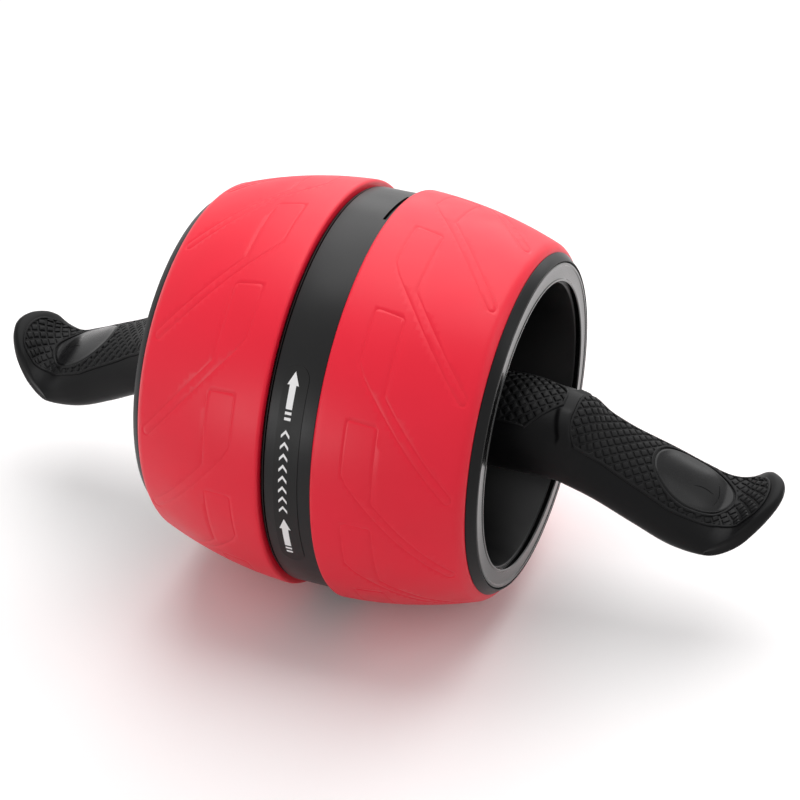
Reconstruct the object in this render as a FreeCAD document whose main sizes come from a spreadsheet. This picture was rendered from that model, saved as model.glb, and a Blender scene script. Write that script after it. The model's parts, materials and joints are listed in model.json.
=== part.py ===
"""Rebound ab wheel roller: a barrel wheel on a sprung axle between two drooping handles.

Millimetres and degrees. +X runs along the axle, +Y is the way the wheel rolls out, +Z is up.
The origin is on the floor, under the middle of the wheel.
"""
import FreeCAD, Part
import math
import os
import Sketcher

doc = FreeCAD.newDocument("ab_wheel_roller")
sheet = doc.addObject("Spreadsheet::Sheet", "Sizes")

# Driving dimensions: name, value and what it measures. A text value is worked out from the others.
SIZES = [
    ("wheel_radius", 93.7, "crest of the tread, and so the height of the axle"),
    ("crown_radius", 193, "radius of the barrel curve across the tread"),
    ("crown_centre", 4.6, "axial place of the barrel curve's centre"),
    ("tread_start", 12, "inner edge of each tread from the middle"),
    ("tread_end", 76.2, "outer end of each tread from the middle"),
    ("tread_end_drop", 15.8, "fall of the barrel from its crest to the end lip"),
    ("tread_end_radius", "=wheel_radius - tread_end_drop", "where the tread meets the end lip"),
    ("tread_thickness", 5, "soft skin over the drum"),
    ("tread_edge_round", 1.5, "round on the tread's inner edge"),
    ("shoulder_width", 4.5, "axial width of the tread's outer shoulder"),
    ("shoulder_radius", 7, "round of the tread's outer shoulder"),
    ("block_count", 12, "tread blocks round the wheel"),
    ("block_first_angle", 29.5, "middle of the first tread block, from the back over the top"),
    ("line_width", 0.9, "width of the incised lines in treads and grips"),
    ("line_depth", 0.6, "depth of the incised lines in treads and grips"),
    ("skin_gap", 0.05, "gap between a skin or ring and its seat"),
    ("band_recess", 2.7, "how far the band lies under the crest of the tread"),
    ("band_radius", "=wheel_radius - band_recess", "outside of the centre band"),
    ("band_thickness", 2.8, "wall of the centre band"),
    ("band_side_gap", 0.4, "gap between the band and each tread"),
    ("band_chamfer", 0.6, "bevel on the band's edges"),
    ("tab_width", 2.65, "axial width of the key tab in the band's notch"),
    ("tab_sink", 0.8, "how far the key tab lies under the band"),
    ("tab_radius", "=band_radius - tab_sink", "top of the key tab"),
    ("tab_angle", 91.6, "where the key tab starts, from the back over the top"),
    ("tab_arc_angle", 17.8, "arc of the key tab"),
    ("tab_gap", 0.5, "gap around the key tab"),
    ("label_thickness", 0.25, "film of the direction label"),
    ("label_width", 11, "width of the direction label"),
    ("label_middle_angle", 173.5, "middle of the label, from the back over the top"),
    ("label_arc_angle", 63, "arc of the direction label"),
    ("lip_width", 4, "axial width of the end lip's cone"),
    ("lip_drop", 3.4, "fall of the end lip's cone"),
    ("lip_radius", "=tread_end_radius - lip_drop", "outer edge of the end face"),
    ("lip_land", 0.4, "flat edge of the end lip"),
    ("groove_width", 0.5, "dark groove around the trim ring"),
    ("end_face_width", 9.3, "flat end face, from the lip's edge to the trim ring's opening"),
    ("trim_inner", "=lip_radius - end_face_width", "opening of the trim ring"),
    ("trim_thickness", 2.5, "trim ring's thickness"),
    ("trim_chamfer", 0.4, "bevel on the trim ring's edges"),
    ("shell_wall", 3, "wall of the half drums"),
    ("cup_step", 1, "how far the cup's mouth stands inside the trim ring"),
    ("cup_floor", 34, "floor of the cup from the middle"),
    ("cup_taper", 5.2, "how much narrower the cup is at its floor than the trim ring"),
    ("cup_floor_radius", "=trim_inner - cup_taper", "cup wall at its floor"),
    ("cup_corner", 8, "round between the cup's wall and floor"),
    ("hub_radius", 16, "outside of the hub boss"),
    ("hub_stand", 2, "hub boss above the cup's floor"),
    ("axle_radius", 8, "steel axle"),
    ("axle_half_length", 88, "half the axle's length"),
    ("axle_chamfer", 1, "bevel on the axle's ends"),
    ("running_gap", 0.05, "radial clearance of the axle in its bushes and sockets"),
    ("bush_wall", 2.4, "wall of the hub bushes"),
    ("bush_flange", 1.5, "thickness of the bush flange"),
    ("bush_flange_radius", 14, "outside of the bush flange"),
    ("end_play", 0.3, "gap between turning and still faces along the axle"),
    ("washer_radius", 13, "outside of the thrust washers"),
    ("washer_thickness", 1.2, "thrust washers"),
    ("ring_thickness", 1.2, "retaining rings"),
    ("ring_radius", 10.5, "outside of the retaining rings"),
    ("ring_depth", 0.6, "depth of a retaining ring's groove in the axle"),
    ("ring_arc_angle", 310, "arc of a retaining ring"),
    ("screw_count", 6, "screws that clamp the half drums"),
    ("screw_inset", 13, "from the cup's wall in to the circle of screws"),
    ("screw_circle", "=cup_floor_radius - screw_inset", "radius of the circle of screws"),
    ("screw_radius", 2, "screw shank"),
    ("screw_gap", 0.15, "radial clearance around a screw"),
    ("screw_head_radius", 3.8, "screw head"),
    ("screw_head_height", 2.6, "screw head"),
    ("screw_reach", 20, "how far the screws reach past the middle"),
    ("post_radius", 4.5, "screw posts of the half drums"),
    ("case_half_length", 22, "half the spring case's length"),
    ("case_inset", 5.5, "from the circle of screws in to the spring case"),
    ("case_radius", "=screw_circle - case_inset", "outside of the spring case"),
    ("case_wall", 2, "wall of the spring case"),
    ("case_bore", 12, "hole in the ends of the spring case"),
    ("case_flange", 3, "flange of the case, clamped between the posts"),
    ("case_flange_rim", 5.5, "from the circle of screws out to the flange's edge"),
    ("case_flange_radius", "=screw_circle + case_flange_rim", "outside of the case's flange"),
    ("lid_spigot", 2.5, "depth of the lid's spigot"),
    ("spring_width", 28, "width of the spring strip"),
    ("spring_thickness", 1, "thickness of the spring strip"),
    ("spring_start", 15, "inner radius of the spiral"),
    ("spring_pitch", 3.2, "step of the spiral at each turn"),
    ("spring_room", 2, "least room between the spiral and the case"),
    ("spring_turns", "=floor((case_radius - case_wall - spring_room - spring_start) / spring_pitch)",
     "turns of the spiral that fit in the case"),
    ("spring_tongue", 4.6, "length of the inner end bent into the arbor"),
    ("spring_slot_gap", 0.4, "gap around the spring's ends in their slots"),
    ("arbor_radius", 13, "collar that carries the spring's inner end"),
    ("arbor_half_length", 16, "half the collar's length"),
    ("arbor_pin_radius", 2, "pin through collar and axle"),
    ("pin_radius", 2.5, "pin through handle and axle"),
    ("pin_place", 68, "axial place of the handle pin"),
    ("pin_sink", 1, "how far the pin's end lies under the neck's surface"),
    ("pin_reach", 12, "how far the pin passes the axle's centre"),
    ("pin_gap", 0.05, "radial clearance around the pins"),
    ("handle_swing", 14, "turn of both handles about the axle, away from straight down"),
    ("neck_radius", 20.5, "round neck of the handle"),
    ("neck_lead", 1, "from the neck's inner end to its second section, which keeps it straight there"),
    ("neck_middle", 52, "axial place of the neck's middle section"),
    ("neck_end", 63, "where the neck starts to change section"),
    ("socket_spare", 1, "depth of the handle's socket past the axle's end"),
    ("pad_thickness", 3, "soft pads on the handle"),
    ("pad_seam", 4.9, "height of the pads' seam over the handle's centre line"),
    ("neck_pad_start", 46, "inner end of the neck pad"),
    ("neck_pad_end", 86, "outer end of the neck pad"),
    ("grip_pad_start", 102, "inner end of the grip pad"),
    ("grip_pad_end", 178, "outer end of the grip pad"),
    ("pad_zone", 70, "height and width of the space that a pad is cut from"),
    ("oval_reach", 150, "middle of the palm oval along the axle"),
    ("oval_drop", 20, "middle of the palm oval under the axle"),
    ("oval_lean", 3.6, "palm oval's lean away from the handle's own plane"),
    ("oval_half_length", 21.5, "palm oval along the grip"),
    ("oval_half_width", 12.5, "palm oval across the grip"),
    ("oval_tilt_angle", 31, "fall of the palm oval from level"),
]

# Sections of the handle past its neck: name, reach along the axle, drop under it, half width,
# half height and lean away from the handle's own plane.
SECTIONS = [
    ("bend", 75, -0.4, 20.9, 20.6, 0),
    ("rise", 86, 0.6, 21, 19.2, 0.2),
    ("guard", 96, 1.6, 21, 18.4, 0.6),
    ("knuckle", 105, 6.8, 20.8, 15.2, 0.9),
    ("thumb", 117, 14.2, 20.8, 13.4, 1.4),
    ("palm", 133, 24, 21.6, 13.6, 2.2),
    ("heel", 149, 32.5, 22.6, 12.4, 2.8),
    ("valley", 162, 36.6, 22.8, 8.8, 3.6),
    ("lift", 173, 34.4, 21.8, 5.6, 5),
    ("flare", 182, 27, 18.6, 4.4, 7),
    ("tip", 189, 21.2, 12, 3.6, 9.5),
]
SECTION_FIELDS = ("reach", "drop", "half_width", "half_height", "lean")
# Round sections of the neck that come before these.
NECK_SECTION_COUNT = 4

# Outline of a tread block, a foot with a slanted arm: corner, axial place and angle from its middle.
BLOCK_CORNERS = [
    ("foot_inner", 25.2, -26.9),
    ("foot_outer", 39.3, -25.9),
    ("elbow_outer", 39.6, -4.2),
    ("arm_low", 71.4, 21.6),
    ("arm_high", 71.4, 26.6),
    ("elbow_inner", 28.3, -7.9),
    ("foot_high", 25.2, -11.5),
]
BLOCK_FIELDS = ("place", "angle")

for section, *values in SECTIONS:
    for field, value in zip(SECTION_FIELDS, values):
        SIZES.append((f"{section}_{field}", value, f"{field.replace('_', ' ')} of the handle's {section}"))
for corner, *values in BLOCK_CORNERS:
    for field, value in zip(BLOCK_FIELDS, values):
        SIZES.append((f"{corner}_{field}", value, f"{field} of a tread block's {corner.replace('_', ' ')}"))

for row, (name, value, note) in enumerate(SIZES, 1):
    sheet.set(f"A{row}", name)
    sheet.set(f"B{row}", str(value))
    sheet.set(f"C{row}", note)
    sheet.setAlias(f"B{row}", name)
doc.recompute()


def size(name):
    """The value of a driving dimension."""
    return float(getattr(sheet, name))


# Places and sizes that follow from the driving dimensions, written as expressions.
RIM_FACE = "(Sizes.tread_end + Sizes.lip_width)"
TRIM_BACK = f"({RIM_FACE} - Sizes.trim_thickness)"
TRIM_SEAT = "(Sizes.lip_radius - Sizes.lip_land)"
CUP_MOUTH = "(Sizes.trim_inner - Sizes.cup_step)"
BAND_SEAT = "(Sizes.band_radius - Sizes.band_thickness - Sizes.skin_gap)"
BAND_HALF = "(Sizes.tread_start - Sizes.band_side_gap)"
TAB_START = "(Sizes.tread_start - Sizes.tab_width - Sizes.skin_gap)"
CREST_PLACE = "(Sizes.tread_start + Sizes.tread_edge_round)"
HUB_END = "(Sizes.cup_floor + Sizes.hub_stand)"
BUSH_RADIUS = "(Sizes.axle_radius + Sizes.running_gap + Sizes.bush_wall)"
BUSH_SEAT = f"({BUSH_RADIUS} + Sizes.skin_gap)"
BUSH_END = f"({HUB_END} + Sizes.bush_flange)"
WASHER_START = f"({BUSH_END} + Sizes.end_play)"
RING_START = f"({WASHER_START} + Sizes.washer_thickness)"
RING_END = f"({RING_START} + Sizes.ring_thickness)"
NECK_START = f"({RING_END} + Sizes.end_play)"
FLANGE_HALF = "(Sizes.case_flange / 2)"
CASE_INNER = "(Sizes.case_radius - Sizes.case_wall)"
CASE_MOUTH = "(Sizes.case_half_length - Sizes.case_wall)"

# Where a piece stands: at the origin, on the wheel's axis, or on that axis and turned with the handles.
AT_ORIGIN = "placement(vector(0; 0; 0); rotation(0; 0; 0))"
ON_AXIS = "placement(vector(0; 0; Sizes.wheel_radius); rotation(0; 0; 0))"
ON_HANDLE_AXIS = "placement(vector(0; 0; Sizes.wheel_radius); rotation(0; 0; Sizes.handle_swing))"


def crown(place, inset="0"):
    """Radius of the barrel curve at an axial place, or of the curve that lies inset under it."""
    return (f"(Sizes.wheel_radius - sqrt(Sizes.crown_radius ^ 2 - ({CREST_PLACE} - Sizes.crown_centre) ^ 2)"
            f" + sqrt((Sizes.crown_radius - {inset}) ^ 2 - ({place} - Sizes.crown_centre) ^ 2))")


def flipped(text, side):
    """An axial place on the right side, or its mirror image on the left."""
    return text if side == "right" else f"-({text})"


def add(kind, label, **bindings):
    """A document object with its properties bound to expressions."""
    item = doc.addObject(kind, label)
    item.Label = label
    for name, text in bindings.items():
        item.setExpression(name, text)
    return item


def boolean(kind, label, base, tool):
    """A Part boolean of two objects."""
    item = doc.addObject(f"Part::{kind}", label)
    item.Label = label
    item.Base = base
    item.Tool = tool
    return item


def joined(label, pieces):
    """One shape fused from several objects."""
    item = doc.addObject("Part::MultiFuse", label)
    item.Label = label
    item.Shapes = pieces
    return item


def mirrored(label, source):
    """The left-hand twin of a right-hand piece."""
    item = doc.addObject("Part::Mirroring", label)
    item.Label = label
    item.Source = source
    item.Normal = FreeCAD.Vector(1, 0, 0)
    return item


def new_sketch(body, name, role, offset=None):
    """A sketch on one of the body's own origin planes, or parallel to it."""
    sketch = body.newObject("Sketcher::SketchObject", name)
    plane = next(feature for feature in body.Origin.OriginFeatures if feature.Role == role)
    sketch.AttachmentSupport = [(plane, "")]
    sketch.MapMode = "FlatFace"
    if offset:
        sketch.setExpression("AttachmentOffset.Base.z", offset)
    return sketch


def bind(sketch, constraint, text):
    """Adds a constraint and ties its value to an expression."""
    index = sketch.addConstraint(constraint)
    sketch.setExpression(f"Constraints[{index}]", text)


def draw_outline(sketch, corners):
    """A closed outline. A corner is (x, y), or (x, y, radius, bulge) where an arc leaves it.

    The bulge is 1 for an arc that bows to the left of its travel and -1 for one to the right.
    """
    places = []
    for corner in corners:
        spot = [float(sketch.evalExpression(text)) for text in corner[:2]]
        places.append(FreeCAD.Vector(spot[0], spot[1], 0))
    ends = []
    for index, corner in enumerate(corners):
        start = places[index]
        end = places[(index + 1) % len(places)]
        if len(corner) == 2:
            geometry = sketch.addGeometry(Part.LineSegment(start, end))
            ends.append((geometry, 1, 2))
            continue
        radius = float(sketch.evalExpression(corner[2]))
        chord = end - start
        rise = radius - math.sqrt(radius ** 2 - (chord.Length / 2) ** 2)
        across = FreeCAD.Vector(-chord.y, chord.x, 0).normalize()
        middle = start + chord * 0.5 + across * (rise * corner[3])
        geometry = sketch.addGeometry(Part.Arc(start, middle, end))
        to_first, to_last = [(sketch.getPoint(geometry, point) - start).Length for point in (1, 2)]
        ends.append((geometry, 1, 2) if to_first < to_last else (geometry, 2, 1))
        bind(sketch, Sketcher.Constraint("Radius", geometry, radius), corner[2])
    for index, (geometry, first, last) in enumerate(ends):
        following, follow_first, _ = ends[(index + 1) % len(ends)]
        sketch.addConstraint(Sketcher.Constraint("Coincident", geometry, last, following, follow_first))
        place = places[index]
        bind(sketch, Sketcher.Constraint("DistanceX", -1, 1, geometry, first, place.x), corners[index][0])
        bind(sketch, Sketcher.Constraint("DistanceY", -1, 1, geometry, first, place.y), corners[index][1])


def turned(label, corners, place=ON_AXIS, arc=None):
    """A body turned about the axle from an outline of (axial place, radius)."""
    body = doc.addObject("PartDesign::Body", label)
    body.Label = label
    body.setExpression("Placement", place)
    sketch = new_sketch(body, f"{label}_profile", "XZ_Plane")
    draw_outline(sketch, corners)
    turn = body.newObject("PartDesign::Revolution", f"{label}_turn")
    turn.Profile = sketch
    turn.ReferenceAxis = (sketch, ["H_Axis"])
    if arc:
        turn.setExpression("Angle", arc)
    doc.recompute()
    return body


def turned_ring(label, start, end, inner, outer, place=ON_AXIS, arc=None):
    """A plain ring about the axle."""
    return turned(label, [(start, inner), (start, outer), (end, outer), (end, inner)], place, arc)


def cylinder_on_axle(label, start, length, radius, angle="0", span="360"):
    """A cylinder or sector about the axle. Angles run from the back over the top."""
    return add("Part::Cylinder", label, Radius=radius, Height=length, Angle=span,
               Placement=f"placement(vector({start}; 0; Sizes.wheel_radius); rotation(90; -({angle}); 90))")


def ring_sector(label, start, length, inner, outer, angle, span):
    """A piece of a ring about the axle."""
    whole = cylinder_on_axle(f"{label}_outer", start, length, outer, angle, span)
    hollow = cylinder_on_axle(f"{label}_inner", start, length, inner)
    return boolean("Cut", label, whole, hollow)


def pin_across(label, place, radius, low, high):
    """A cylinder that crosses the axle at an axial place, square to it in the handles' plane."""
    lift = (f"vector({place}; -sin(Sizes.handle_swing) * ({low});"
            f" Sizes.wheel_radius + cos(Sizes.handle_swing) * ({low}))")
    return add("Part::Cylinder", label, Radius=radius, Height=f"({high}) - ({low})",
               Placement=f"placement({lift}; rotation(0; 0; Sizes.handle_swing))")


def shrunk(item, before):
    """Stops the build where a cut took nothing away."""
    doc.recompute()
    if not item.Shape.Volume < before - 1:
        raise RuntimeError(f"{item.Label} cuts nothing")


def raised(label, outline, height):
    """Solid with a flat outline, half above and half below it."""
    solid = add("Part::Extrusion", label, LengthFwd=height)
    solid.Base = outline
    solid.DirMode = "Normal"
    solid.Symmetric = True
    solid.Solid = True
    return solid


def tread_lines():
    """Incised lines round the blocks of the right tread."""
    outline = add("Sketcher::SketchObject", "block_outline")
    outline.setExpression("Placement.Base.z", "Sizes.tread_end_radius")
    corners = []
    for corner, *_ in BLOCK_CORNERS:
        place = f"Sizes.{corner}_place"
        corners.append((place, f"-{crown(place)} * sin(Sizes.{corner}_angle)"))
    draw_outline(outline, corners)
    strip = add("Part::Offset2D", "block_strip", Value="-Sizes.line_width")
    strip.Source = outline
    strip.Fill = True
    wall = raised("block_wall", strip, "Sizes.wheel_radius / 2")
    start = "Sizes.tread_start"
    end = "(Sizes.tread_end - Sizes.shoulder_width)"
    skin = turned("line_skin", [
        (start, crown(start, "Sizes.line_depth"), "(Sizes.crown_radius - Sizes.line_depth)", 1),
        (end, crown(end, "Sizes.line_depth")),
        (end, f"({crown(end)} + Sizes.tread_thickness)"),
        (start, f"({crown(start)} + Sizes.tread_thickness)"),
    ], AT_ORIGIN)
    line = boolean("Common", "block_line", wall, skin)
    lines = []
    for index in range(int(size("block_count"))):
        turn = f"Sizes.block_first_angle - 90 + {index} * 360 / Sizes.block_count"
        copy = add("Part::Compound", f"block_line_{index + 1}",
                   Placement=f"placement(vector(0; 0; Sizes.wheel_radius); rotation(0; 0; {turn}))")
        copy.Links = [line]
        lines.append(copy)
    group = doc.addObject("Part::Compound", "tread_lines")
    group.Links = lines
    return group


def make_tread(side):
    """Soft red skin over half of the barrel, with an incised line round each block."""
    shoulder = "(Sizes.tread_end - Sizes.shoulder_width)"
    end = "(Sizes.tread_end - Sizes.skin_gap)"
    under = "(Sizes.crown_radius - Sizes.tread_thickness)"
    if side == "left":
        return mirrored("tread_left", doc.getObject("tread_right"))
    plain = turned("tread_plain", [
        (CREST_PLACE, crown(CREST_PLACE), "Sizes.crown_radius", 1),
        (shoulder, crown(shoulder), "Sizes.shoulder_radius", 1),
        (end, "Sizes.tread_end_radius"),
        (end, crown(end, "Sizes.tread_thickness"), under, -1),
        ("Sizes.tread_start", crown("Sizes.tread_start", "Sizes.tread_thickness")),
        ("Sizes.tread_start", "(Sizes.wheel_radius - Sizes.tread_edge_round)", "Sizes.tread_edge_round", 1),
    ])
    tread = boolean("Cut", "tread_right", plain, tread_lines())
    shrunk(tread, plain.Shape.Volume)
    return tread


def shell_outline(side):
    """Section of a half drum: band seat, barrel wall, end lip, cup, hub boss and back again."""
    seat_inset = "(Sizes.tread_thickness + Sizes.skin_gap)"
    wall_inset = f"({seat_inset} + Sizes.shell_wall)"
    seat_radius = f"(Sizes.crown_radius - {seat_inset})"
    end_inner = f"({TRIM_BACK} - Sizes.shell_wall)"
    corner_place = "(Sizes.cup_floor + Sizes.cup_corner)"
    corner_radius = "(Sizes.cup_floor_radius - Sizes.cup_corner)"
    floor_back = "(Sizes.cup_floor - Sizes.shell_wall)"
    corners = [
        ("0", BAND_SEAT),
        ("Sizes.tread_start", BAND_SEAT),
        ("Sizes.tread_start", crown("Sizes.tread_start", seat_inset), seat_radius, 1),
        ("Sizes.tread_end", crown("Sizes.tread_end", seat_inset)),
        ("Sizes.tread_end", "Sizes.tread_end_radius"),
        (RIM_FACE, "Sizes.lip_radius"),
        (RIM_FACE, TRIM_SEAT),
        (TRIM_BACK, TRIM_SEAT),
        (TRIM_BACK, CUP_MOUTH),
        (corner_place, "Sizes.cup_floor_radius", "Sizes.cup_corner", -1),
        ("Sizes.cup_floor", corner_radius),
        ("Sizes.cup_floor", "Sizes.hub_radius"),
        (HUB_END, "Sizes.hub_radius"),
        (HUB_END, BUSH_SEAT),
        ("Sizes.case_half_length", BUSH_SEAT),
        ("Sizes.case_half_length", "Sizes.hub_radius"),
        (floor_back, "Sizes.hub_radius"),
        (floor_back, corner_radius, "(Sizes.cup_corner + Sizes.shell_wall)", 1),
        (corner_place, "(Sizes.cup_floor_radius + Sizes.shell_wall)"),
        (end_inner, f"({CUP_MOUTH} + Sizes.shell_wall)"),
        (end_inner, crown(end_inner, wall_inset), f"(Sizes.crown_radius - {wall_inset})", -1),
        ("Sizes.tread_start", crown("Sizes.tread_start", wall_inset)),
        ("Sizes.tread_start", f"({BAND_SEAT} - Sizes.shell_wall)"),
        ("0", f"({BAND_SEAT} - Sizes.shell_wall)"),
    ]
    turn_over = 1 if side == "right" else -1
    outline = []
    for place, radius, *arc in corners:
        bow = [arc[0], arc[1] * turn_over] if arc else []
        outline.append((flipped(place, side), radius, *bow))
    return outline


def post_circle(body, name, radius, offset):
    """A sketch of one circle at the top of the screw circle."""
    sketch = new_sketch(body, name, "YZ_Plane", offset)
    centre = FreeCAD.Vector(0, size("screw_circle"), 0)
    value = float(sketch.evalExpression(radius))
    sketch.addGeometry(Part.Circle(centre, FreeCAD.Vector(0, 0, 1), value))
    bind(sketch, Sketcher.Constraint("Radius", 0, value), radius)
    bind(sketch, Sketcher.Constraint("DistanceX", -1, 1, 0, 3, 0), "0")
    bind(sketch, Sketcher.Constraint("DistanceY", -1, 1, 0, 3, centre.y), "Sizes.screw_circle")
    return sketch


def round_the_axle(body, name, originals):
    """Repeats features at each screw."""
    pattern = body.newObject("PartDesign::PolarPattern", name)
    pattern.Originals = originals
    axis = next(feature for feature in body.Origin.OriginFeatures if feature.Role == "X_Axis")
    pattern.Axis = (axis, [""])
    pattern.Angle = 360
    pattern.setExpression("Occurrences", "Sizes.screw_count")
    body.Tip = pattern
    doc.recompute()
    return pattern


def make_shell(side):
    """Half drum with its screw posts. The screws pass through the right one and end in the left one."""
    label = f"wheel_shell_{side}" if side == "left" else "shell_without_tab"
    right = side == "right"
    body = turned(label, shell_outline(side))
    face = flipped(FLANGE_HALF, side)
    post = body.newObject("PartDesign::Pad", f"{label}_post")
    post.Profile = post_circle(body, f"{label}_post_circle", "Sizes.post_radius", face)
    post.setExpression("Length", f"Sizes.cup_floor - Sizes.shell_wall / 2 - {FLANGE_HALF}")
    post.Reversed = not right
    doc.recompute()
    posts = round_the_axle(body, f"{label}_posts", [post])
    before = posts.Shape.Volume
    hole = body.newObject("PartDesign::Pocket", f"{label}_hole")
    hole.Profile = post_circle(body, f"{label}_hole_circle", "Sizes.screw_radius + Sizes.screw_gap", face)
    depth = "Sizes.cup_floor + Sizes.shell_wall" if right else "Sizes.screw_reach + Sizes.screw_radius / 2"
    hole.setExpression("Length", f"{depth} - {FLANGE_HALF}")
    hole.Reversed = right
    doc.recompute()
    round_the_axle(body, f"{label}_holes", [hole])
    shrunk(body, before)
    if not right:
        return body
    tab = ring_sector("key_tab", TAB_START, "Sizes.tab_width", f"({BAND_SEAT} - Sizes.shell_wall / 2)",
                      "Sizes.tab_radius", "Sizes.tab_angle", "Sizes.tab_arc_angle")
    return boolean("Fuse", "wheel_shell_right", body, tab)


def make_band():
    """Centre band with the notch that the key tab stands in."""
    low = f"({BAND_SEAT} + Sizes.skin_gap)"
    shoulder = "(Sizes.band_radius - Sizes.band_chamfer)"
    flat = f"({BAND_HALF} - Sizes.band_chamfer)"
    ring = turned("band_ring", [
        (f"-{BAND_HALF}", low),
        (f"-{BAND_HALF}", shoulder),
        (f"-{flat}", "Sizes.band_radius"),
        (flat, "Sizes.band_radius"),
        (BAND_HALF, shoulder),
        (BAND_HALF, low),
    ])
    spare = "(Sizes.tab_gap / Sizes.tab_radius * 180 / pi)"
    notch = ring_sector("band_notch", f"({TAB_START} - Sizes.tab_gap)",
                        "Sizes.tab_width + Sizes.tab_gap + Sizes.skin_gap",
                        f"({BAND_SEAT} - Sizes.shell_wall)", "Sizes.band_radius + Sizes.band_thickness",
                        f"Sizes.tab_angle - {spare}", f"Sizes.tab_arc_angle + 2 * {spare}")
    return boolean("Cut", "centre_band", ring, notch)


def make_label():
    """Thin label with round ends, wrapped on the band."""
    inner = "(Sizes.band_radius + Sizes.skin_gap)"
    film = ring_sector("label_film", "-Sizes.label_width / 2", "Sizes.label_width", inner,
                       f"({inner} + Sizes.label_thickness)",
                       "Sizes.label_middle_angle - Sizes.label_arc_angle / 2", "Sizes.label_arc_angle")
    half_chord = "(Sizes.band_radius * sin(Sizes.label_arc_angle / 2) - Sizes.label_width / 2)"
    depth = "Sizes.band_radius"
    stamp = []
    stamp.append(add("Part::Box", "label_stamp_middle", Length="Sizes.label_width", Width=f"2 * {half_chord}",
                     Height=f"2 * {depth}"))
    stamp[0].setExpression("Placement.Base.x", "-Sizes.label_width / 2")
    stamp[0].setExpression("Placement.Base.y", f"-{half_chord}")
    for index, sign in enumerate(("", "-")):
        end = add("Part::Cylinder", f"label_stamp_end_{index + 1}", Radius="Sizes.label_width / 2",
                  Height=f"2 * {depth}")
        end.setExpression("Placement.Base.y", f"{sign}{half_chord}")
        stamp.append(end)
    outline = joined("label_stamp", stamp)
    outline.setExpression("Placement", "placement(vector(0; 0; Sizes.wheel_radius);"
                                       " rotation(0; 0; Sizes.label_middle_angle - 90))")
    return boolean("Common", "direction_label", film, outline)


def make_trim_ring(side):
    """Glossy ring in the end face of the drum."""
    if side == "left":
        return mirrored("trim_ring_left", doc.getObject("trim_ring_right"))
    back = f"({TRIM_BACK} + Sizes.skin_gap)"
    outer = f"({TRIM_SEAT} - Sizes.groove_width)"
    bevel_place = f"({RIM_FACE} - Sizes.trim_chamfer)"
    return turned("trim_ring_right", [
        (back, "Sizes.trim_inner"),
        (back, outer),
        (bevel_place, outer),
        (RIM_FACE, f"({outer} - Sizes.trim_chamfer)"),
        (RIM_FACE, "(Sizes.trim_inner + Sizes.trim_chamfer)"),
        (bevel_place, "Sizes.trim_inner"),
    ])


def make_bush(side):
    """Flanged plain bearing in the hub boss."""
    if side == "left":
        return mirrored("bush_left", doc.getObject("bush_right"))
    bore = "(Sizes.axle_radius + Sizes.running_gap)"
    return turned("bush_right", [
        ("Sizes.case_half_length", bore),
        ("Sizes.case_half_length", BUSH_RADIUS),
        (HUB_END, BUSH_RADIUS),
        (HUB_END, "Sizes.bush_flange_radius"),
        (BUSH_END, "Sizes.bush_flange_radius"),
        (BUSH_END, bore),
    ])


def make_thrust_washer(side):
    """Washer between the bush flange and the retaining ring."""
    if side == "left":
        return mirrored("thrust_washer_left", doc.getObject("thrust_washer_right"))
    return turned_ring("thrust_washer_right", WASHER_START, RING_START,
                       "(Sizes.axle_radius + Sizes.running_gap)", "Sizes.washer_radius", ON_HANDLE_AXIS)


def make_retaining_ring(side):
    """Open spring ring in the axle's groove."""
    if side == "left":
        return mirrored("retaining_ring_left", doc.getObject("retaining_ring_right"))
    return turned_ring("retaining_ring_right", RING_START, RING_END,
                       "(Sizes.axle_radius - Sizes.ring_depth + Sizes.running_gap)", "Sizes.ring_radius",
                       ON_HANDLE_AXIS, "Sizes.ring_arc_angle")


def make_screws():
    """Screws from the right cup into the left half drum, as one group."""
    screws = []
    count = int(size("screw_count"))
    for index in range(count):
        angle = f"(90 + {index} * 360 / {count})"
        across = (f"Sizes.screw_circle * cos({angle});"
                  f" Sizes.wheel_radius + Sizes.screw_circle * sin({angle})")
        shank = add("Part::Cylinder", f"screw_shank_{index + 1}", Radius="Sizes.screw_radius",
                    Height="Sizes.cup_floor + Sizes.screw_reach",
                    Placement=f"placement(vector(-Sizes.screw_reach; {across}); rotation(0; 90; 0))")
        head = add("Part::Cylinder", f"screw_head_{index + 1}", Radius="Sizes.screw_head_radius",
                   Height="Sizes.screw_head_height",
                   Placement=f"placement(vector(Sizes.cup_floor; {across}); rotation(0; 90; 0))")
        screws.append(boolean("Fuse", f"screw_{index + 1}", shank, head))
    group = doc.addObject("Part::Compound", "shell_screws")
    group.Label = "shell_screws"
    group.Links = screws
    return group


def spring_slot(label, start, end, edge):
    """Space for a bent end of the spring, along the handles' own cross direction."""
    gap = "Sizes.spring_slot_gap"
    swing = "Sizes.handle_swing"
    length = f"(Sizes.spring_width + 2 * {gap})"
    low = f"({edge} - {gap})"
    corner = (f"vector(-{length} / 2; cos({swing}) * ({start}) - sin({swing}) * {low};"
              f" Sizes.wheel_radius + sin({swing}) * ({start}) + cos({swing}) * {low})")
    return add("Part::Box", label, Length=length, Width=f"({end}) - ({start})",
               Height=f"Sizes.spring_thickness + 2 * {gap}",
               Placement=f"placement({corner}; rotation(0; 0; {swing}))")


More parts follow.
